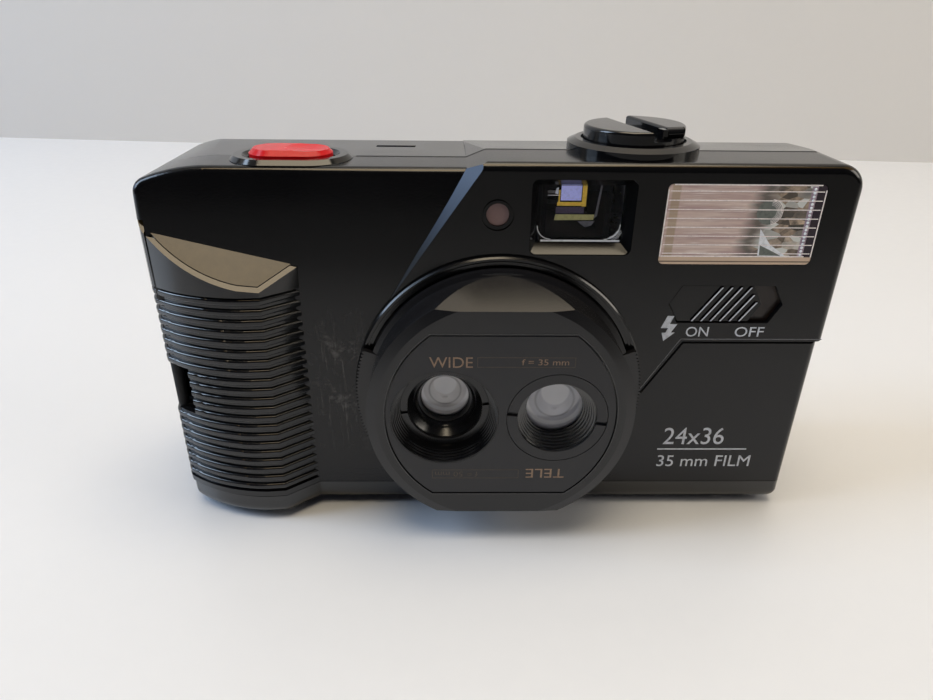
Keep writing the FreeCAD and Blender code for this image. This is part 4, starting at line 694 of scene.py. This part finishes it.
def finder_pane():
    """Painted highlights along the edge of the finder's pane and curved streaks of painted highlight at its
    lower right corner.
    """
    front = low_corner("finder_front_lens").y - 0.05 * MM
    foot = low_corner("finder_front_lens").z

    def rim(shape):
        """A straight foot and two round lower corners."""
        add_bar(shape, (8.6 * MM, foot + 0.1 * MM), (23.4 * MM, foot + 0.45 * MM), front)
        for centre, start, reach in (((10.4, 63.6), 180, 2.6), ((20.4, 63.9), 270, 2.9)):
            add_arc(shape, centre, reach, start, start + 90, 0.14, front)

    piece("finder_pane_edge", mesh_of(rim), "glint", "body")

    def streaks(shape):
        """Four arcs, each wider and a little higher than the one before."""
        for n in range(4):
            add_arc(shape, (20.6, 63.7), 2.45 + 0.28 * n, 285 + 6 * n, 335 + 4 * n, 0.09, front - 0.01 * MM)

    piece("finder_pane_streaks", mesh_of(streaks), "glint", "body")


def add_arc(shape, centre, radius, start, end, width, y, steps=14):
    """A thin curved line on a front-facing plane; sizes in millimetres, angles in degrees."""
    for n in range(steps):
        corners = []
        for angle, reach in ((n, radius), (n + 1, radius), (n + 1, radius - width), (n, radius - width)):
            turn = math.radians(start + (end - start) * angle / steps)
            x = centre[0] + reach * math.cos(turn)
            z = centre[1] + reach * math.sin(turn)
            corners.append((x * MM, y, z * MM))
        add_slab(shape, corners, PRINT)


def flash_lines(low, high, front):
    """Painted highlights with a painted glow: the fine ribs across the flash window and the outline round
    them.
    """

    def ribs(shape):
        top_rib = high.z - 1.35 * MM
        gap = 1.65 * MM
        for n in range(8):
            level = top_rib - gap * n
            add_bar(shape, (low.x + 0.4 * MM, level), (high.x - 0.4 * MM, level + 0.17 * MM), front)

    piece("flash_window_rib_glints", mesh_of(ribs), "rib_light", "body")

    def outline(shape):
        """Four lines that stop short of the round corners; the lowest lies above the sloping foot."""
        line = 0.22 * MM
        inset = 1.0 * MM
        foot = low.z + 1.45 * MM
        add_bar(shape, (low.x + inset, high.z - line), (high.x - inset, high.z), front)
        add_bar(shape, (low.x, foot), (low.x + line, high.z - inset), front)
        add_bar(shape, (high.x - line, foot), (high.x, high.z - inset), front)
        add_bar(shape, (low.x + 0.3 * MM, foot), (high.x - 1.4 * MM, foot + line), front)

    piece("flash_window_outline", mesh_of(outline), "rib_light", "body")


def flash_tube_end(left, top, front):
    """The round end of the tube: a grey disc with five rings of painted highlight, with a painted glow, on
    its right half.
    """
    centre = (left + 18.9, top - 5.0)
    radius = 2.3
    steps = 24

    def rings(shape):
        for n in range(5):
            add_arc(shape, centre, radius + 0.1 - 0.26 * n, -75, 85, 0.12 - 0.015 * n, front - 0.05 * MM)

    piece("flash_tube_rings", mesh_of(rings), "rib_light", "body")
    turns = [2 * math.pi * n / steps for n in range(steps)]
    disc = [(centre[0] + radius * math.cos(a), centre[1] + radius * math.sin(a)) for a in turns]
    flat_piece("flash_tube_end", disc, front + 0.005 * MM, "tube_grey")


def flash_side(left, high, front):
    """The dull strip down the right side of the flash window, with a row of beads on it that carry painted
    highlights.
    """
    top = high.z / MM
    strip = oblong(left + 25.7, top - 13.5, left + 26.75, top - 0.3)
    flat_piece("flash_side_strip", strip, front + 0.01 * MM, "mauve")

    def beads(shape):
        count = 19
        for n in range(count):
            drop = 0.8 + 12.2 * n / (count - 1)
            spot = Vector((high.x - 2.15 * MM, front + 0.12 * MM, high.z - drop * MM))
            place = Matrix.Translation(spot)
            bmesh.ops.create_icosphere(shape, subdivisions=2, radius=0.3 * MM, matrix=place)

    piece("flash_side_beads", mesh_of(beads), "glint", "body")


def flash_details():
    """What shows on and in the flash window: its painted rib highlights, the tube's end, painted reflections
    of the folded reflector, the side.
    """
    low = low_corner("flash_window")
    high = high_corner("flash_window")
    front = low.y - LIFT
    left = low.x / MM
    top = high.z / MM
    flash_lines(low, high, front)
    flash_tube_end(left, top, front)

    def from_corner(*steps):
        """An outline given as steps to the right of and down from the window's upper left corner."""
        return [(left + across, top - down) for across, down in steps]

    # painted reflection: a bright sail and a grey fold of the reflector, laid as films on the window
    sail = from_corner((17.9, 8.1), (18.3, 13.2), (23.6, 13.3), (20.2, 11.0))
    flat_piece("flash_reflector_sail", sail, front, "glint")
    fold = from_corner((18.4, 11.2), (18.6, 13.1), (22.6, 13.2), (20.6, 12.2))
    flat_piece("flash_reflector_fold", fold, front - FILM, "tube_grey")
    flash_side(left, high, front)


def turret_edge():
    """A painted highlight on the fine edge round the turret's face plate: two arcs and two flats, in
    millimetres.
    """
    plate = middle("turret_face_plate")
    high = high_corner("turret_face_plate")
    y = low_corner("turret_drum").y - 0.01 * MM
    line = 0.1
    outside = 0.45
    radius = (high.x - plate.x) / MM + outside
    flat = (high.z - plate.z) / MM + outside
    turn = math.degrees(math.asin(flat / radius))
    half = radius * math.cos(math.radians(turn))
    centre = (plate.x / MM, plate.z / MM)

    def edge(shape):
        add_arc(shape, centre, radius, -turn, turn, line, y, 40)
        add_arc(shape, centre, radius, 180 - turn, 180 + turn, line, y, 40)
        for level in (flat, -flat):
            left = ((centre[0] - half) * MM, (centre[1] + level - line / 2) * MM)
            right = ((centre[0] + half) * MM, (centre[1] + level + line / 2) * MM)
            add_bar(shape, left, right, y)

    piece("turret_edge_line", mesh_of(edge), "faint_glint", "turret")


def step_edge():
    """A painted highlight along the lower edge of the raised block, from the ring to the right end."""
    y = block_face() - LIFT
    line = 0.16
    corner = (37.2, 41.6)
    foot = (30.2, 29.6)
    right = high_corner("front_cover").x / MM - 0.5
    slanted = [foot, (foot[0] + line, foot[1]), (corner[0] + line, corner[1]), corner]
    flat_piece("step_edge_slant", slanted, y, "soft_glint")
    level = oblong(corner[0], corner[1] - line, right, corner[1])
    flat_piece("step_edge_level", level, y, "soft_glint")


def deck_seam():
    """A black strip of painted shade over the gap between the covers on the deck; it climbs the short ramp up
    to the block.
    """
    ramp_foot = Vector((-5.25 * MM, 0, 73.9 * MM))
    ramp_head = Vector((-1.6 * MM, 0, high_corner("rear_body").z))
    left_end = Vector((high_corner("button_bezel").x + 0.4 * MM, 0, ramp_foot.z))
    right_end = Vector((high_corner("rear_body").x - 4 * MM, 0, ramp_head.z))
    half = 0.25 * MM
    lift = 0.05 * MM
    depth = 0.1 * MM

    def strip(shape):
        for start, end in ((left_end, ramp_foot), (ramp_foot, ramp_head), (ramp_head, right_end)):
            corners = []
            for spot, y in ((start, -half), (end, -half), (end, half), (start, half)):
                corners.append(shape.verts.new((spot.x, y, spot.z + lift)))
            under = [shape.verts.new(v.co - Vector((0, 0, depth))) for v in corners]
            shape.faces.new(corners)
            shape.faces.new(list(reversed(under)))
            for n in range(4):
                after = (n + 1) % 4
                shape.faces.new((corners[n], under[n], under[after], corners[after]))

    piece("deck_seam_painted_shade", mesh_of(strip), "black_ink", "body")


def release_spring():
    """The release's return spring, which the button squeezes in the camera: here a fixed coil like its solid.
    """
    low = low_corner("button_spring")
    high = high_corner("button_spring")
    wire = 0.23 * MM  # the wire's radius; coil is the radius of its turns
    coil = (high.x - low.x) / 2 - wire
    foot = Vector(((low.x + high.x) / 2, (low.y + high.y) / 2, low.z + wire))
    rise = Vector((0, 0, high.z - low.z - 2 * wire))
    turns = 3.78
    steps = 120
    sides = 10

    def build(shape):
        rings = []
        for n in range(steps + 1):
            turn = 2 * math.pi * turns * n / steps
            outward = Vector((math.cos(turn), math.sin(turn), 0))
            spot = foot + outward * coil + rise * (n / steps)
            ring = []
            for side in range(sides):
                angle = 2 * math.pi * side / sides
                away = outward * math.cos(angle) + Vector((0, 0, math.sin(angle)))
                ring.append(shape.verts.new(spot + wire * away))
            rings.append(ring)
        for ring, ahead in zip(rings, rings[1:]):
            for side in range(sides):
                after = (side + 1) % sides
                shape.faces.new((ring[side], ring[after], ahead[after], ahead[side]))
        shape.faces.new(rings[0])
        shape.faces.new(list(reversed(rings[-1])))

    made = piece("release_spring_coil", mesh_of(build), "spring", "body")
    for polygon in made.data.polygons:
        polygon.use_smooth = True
    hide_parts("button_spring")
    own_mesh(made)


print_front()
print_turret()
switch_lines()
finder_depths()
finder_pane()
flash_details()
turret_edge()
step_edge()
deck_seam()
release_spring()


# ---------------------------------------------------------------- camera, floor and light


def photo_camera():
    """A wide view from above and in front, a little left of the turret."""
    pitch = math.radians(27.19)
    yaw = math.radians(1.185)
    roll = math.radians(0.7)
    level = Vector((math.sin(yaw), math.cos(yaw), 0))
    right = Vector((math.cos(yaw), -math.sin(yaw), 0))
    forward = level * math.cos(pitch) + Vector((0, 0, -math.sin(pitch)))
    above = level * math.sin(pitch) + Vector((0, 0, math.cos(pitch)))
    turned_right = right * math.cos(roll) + above * math.sin(roll)
    turned_up = above * math.cos(roll) - right * math.sin(roll)
    data = bpy.data.cameras.new("camera")
    data.sensor_width = 36.0
    data.lens = 26.26
    data.clip_start = 0.005
    data.clip_end = 20.0
    camera = bpy.data.objects.new("camera", data)
    rotation = Matrix((turned_right, turned_up, -forward)).transposed().to_4x4()
    camera.matrix_world = Matrix.Translation((-0.00741, -0.13208, 0.10041)) @ rotation
    bpy.context.scene.collection.objects.link(camera)
    bpy.context.scene.camera = camera


def stage_plane(name, corners, colour, roughness):
    """A flat part of the surroundings; gives back its material, so that more can be laid over it."""

    def build(shape):
        shape.faces.new([shape.verts.new(c) for c in corners])

    made = bpy.data.objects.new(name, mesh_of(build))
    tree = plain(name, colour, roughness, 300.0, 0.01, 0.98)
    made.data.materials.append(tree.material)
    bpy.context.scene.collection.objects.link(made)
    return tree


def area_light(name, spot, target, size, power, colour):
    """A rectangular soft light at a spot, aimed at a target; power in watts."""
    data = bpy.data.lights.new(name, "AREA")
    data.shape = "RECTANGLE"
    data.size = size[0]
    data.size_y = size[1]
    data.energy = power
    data.color = colour
    made = bpy.data.objects.new(name, data)
    made.location = spot
    made.rotation_mode = "QUATERNION"
    made.rotation_quaternion = (Vector(target) - Vector(spot)).to_track_quat("-Z", "Y")
    bpy.context.scene.collection.objects.link(made)


def room():
    """The light of the room: pale towards +Y, behind the model, and dark towards -Y, before it."""
    world = bpy.data.worlds.new("room")
    world.use_nodes = True
    tree = world.node_tree
    background = tree.nodes["Background"]
    place = tree.nodes.new("ShaderNodeTexCoord").outputs["Generated"]
    split = tree.nodes.new("ShaderNodeSeparateXYZ")
    tree.links.new(place, split.inputs[0])
    ramp = tree.nodes.new("ShaderNodeValToRGB")
    spread = tree.nodes.new("ShaderNodeMapRange")
    spread.inputs["From Min"].default_value = -1.0
    tree.links.new(split.outputs["Y"], spread.inputs["Value"])
    tree.links.new(spread.outputs[0], ramp.inputs["Fac"])
    ramp.color_ramp.elements[0].position = 0.35
    ramp.color_ramp.elements[0].color = (0.035, 0.035, 0.04, 1)
    ramp.color_ramp.elements[1].position = 0.62
    ramp.color_ramp.elements[1].color = (0.62, 0.6, 0.57, 1)
    tree.links.new(ramp.outputs["Color"], background.inputs["Color"])
    background.inputs["Strength"].default_value = 1.0
    bpy.context.scene.world = world


photo_camera()
floor_corners = [(-3, -3, 0), (3, -3, 0), (3, 3, 0), (-3, 3, 0)]
floor = stage_plane("floor", floor_corners, (0.68, 0.695, 0.735, 1), 0.35)
near_shade = floor.span(floor.axis("Y"), -0.08, -0.24, 0.0, 0.75)
tinge(floor, near_shade, grey(0.12))
wall_foot = [Vector((-1.5, 0.54, 0)), Vector((1.5, 0.247, 0))]
wall_top = [spot + Vector((0, 0, 2)) for spot in reversed(wall_foot)]
wall = stage_plane("wall", wall_foot + wall_top, (0.76, 0.735, 0.71, 1), 0.6)
left_shade = wall.span(wall.axis("X"), 0.05, -0.6)
tinge(wall, left_shade, (0.64, 0.6, 0.565, 1))
room()
area_light("ceiling", spot=(0.05, -0.05, 1.3), target=(0, 0, 0.03), size=(1.1, 0.7),
           power=13.5, colour=(1.0, 0.85, 0.62))
area_light("window", spot=(-1.1, -0.1, 0.75), target=(0, 0, 0.04), size=(0.5, 0.9),
           power=12, colour=(0.6, 0.77, 1.0))
area_light("fill", spot=(1.2, -0.3, 0.6), target=(0, 0, 0.04), size=(0.6, 0.6),
           power=5, colour=(1.0, 0.93, 0.82))
bpy.context.scene.view_settings.view_transform = "Standard"
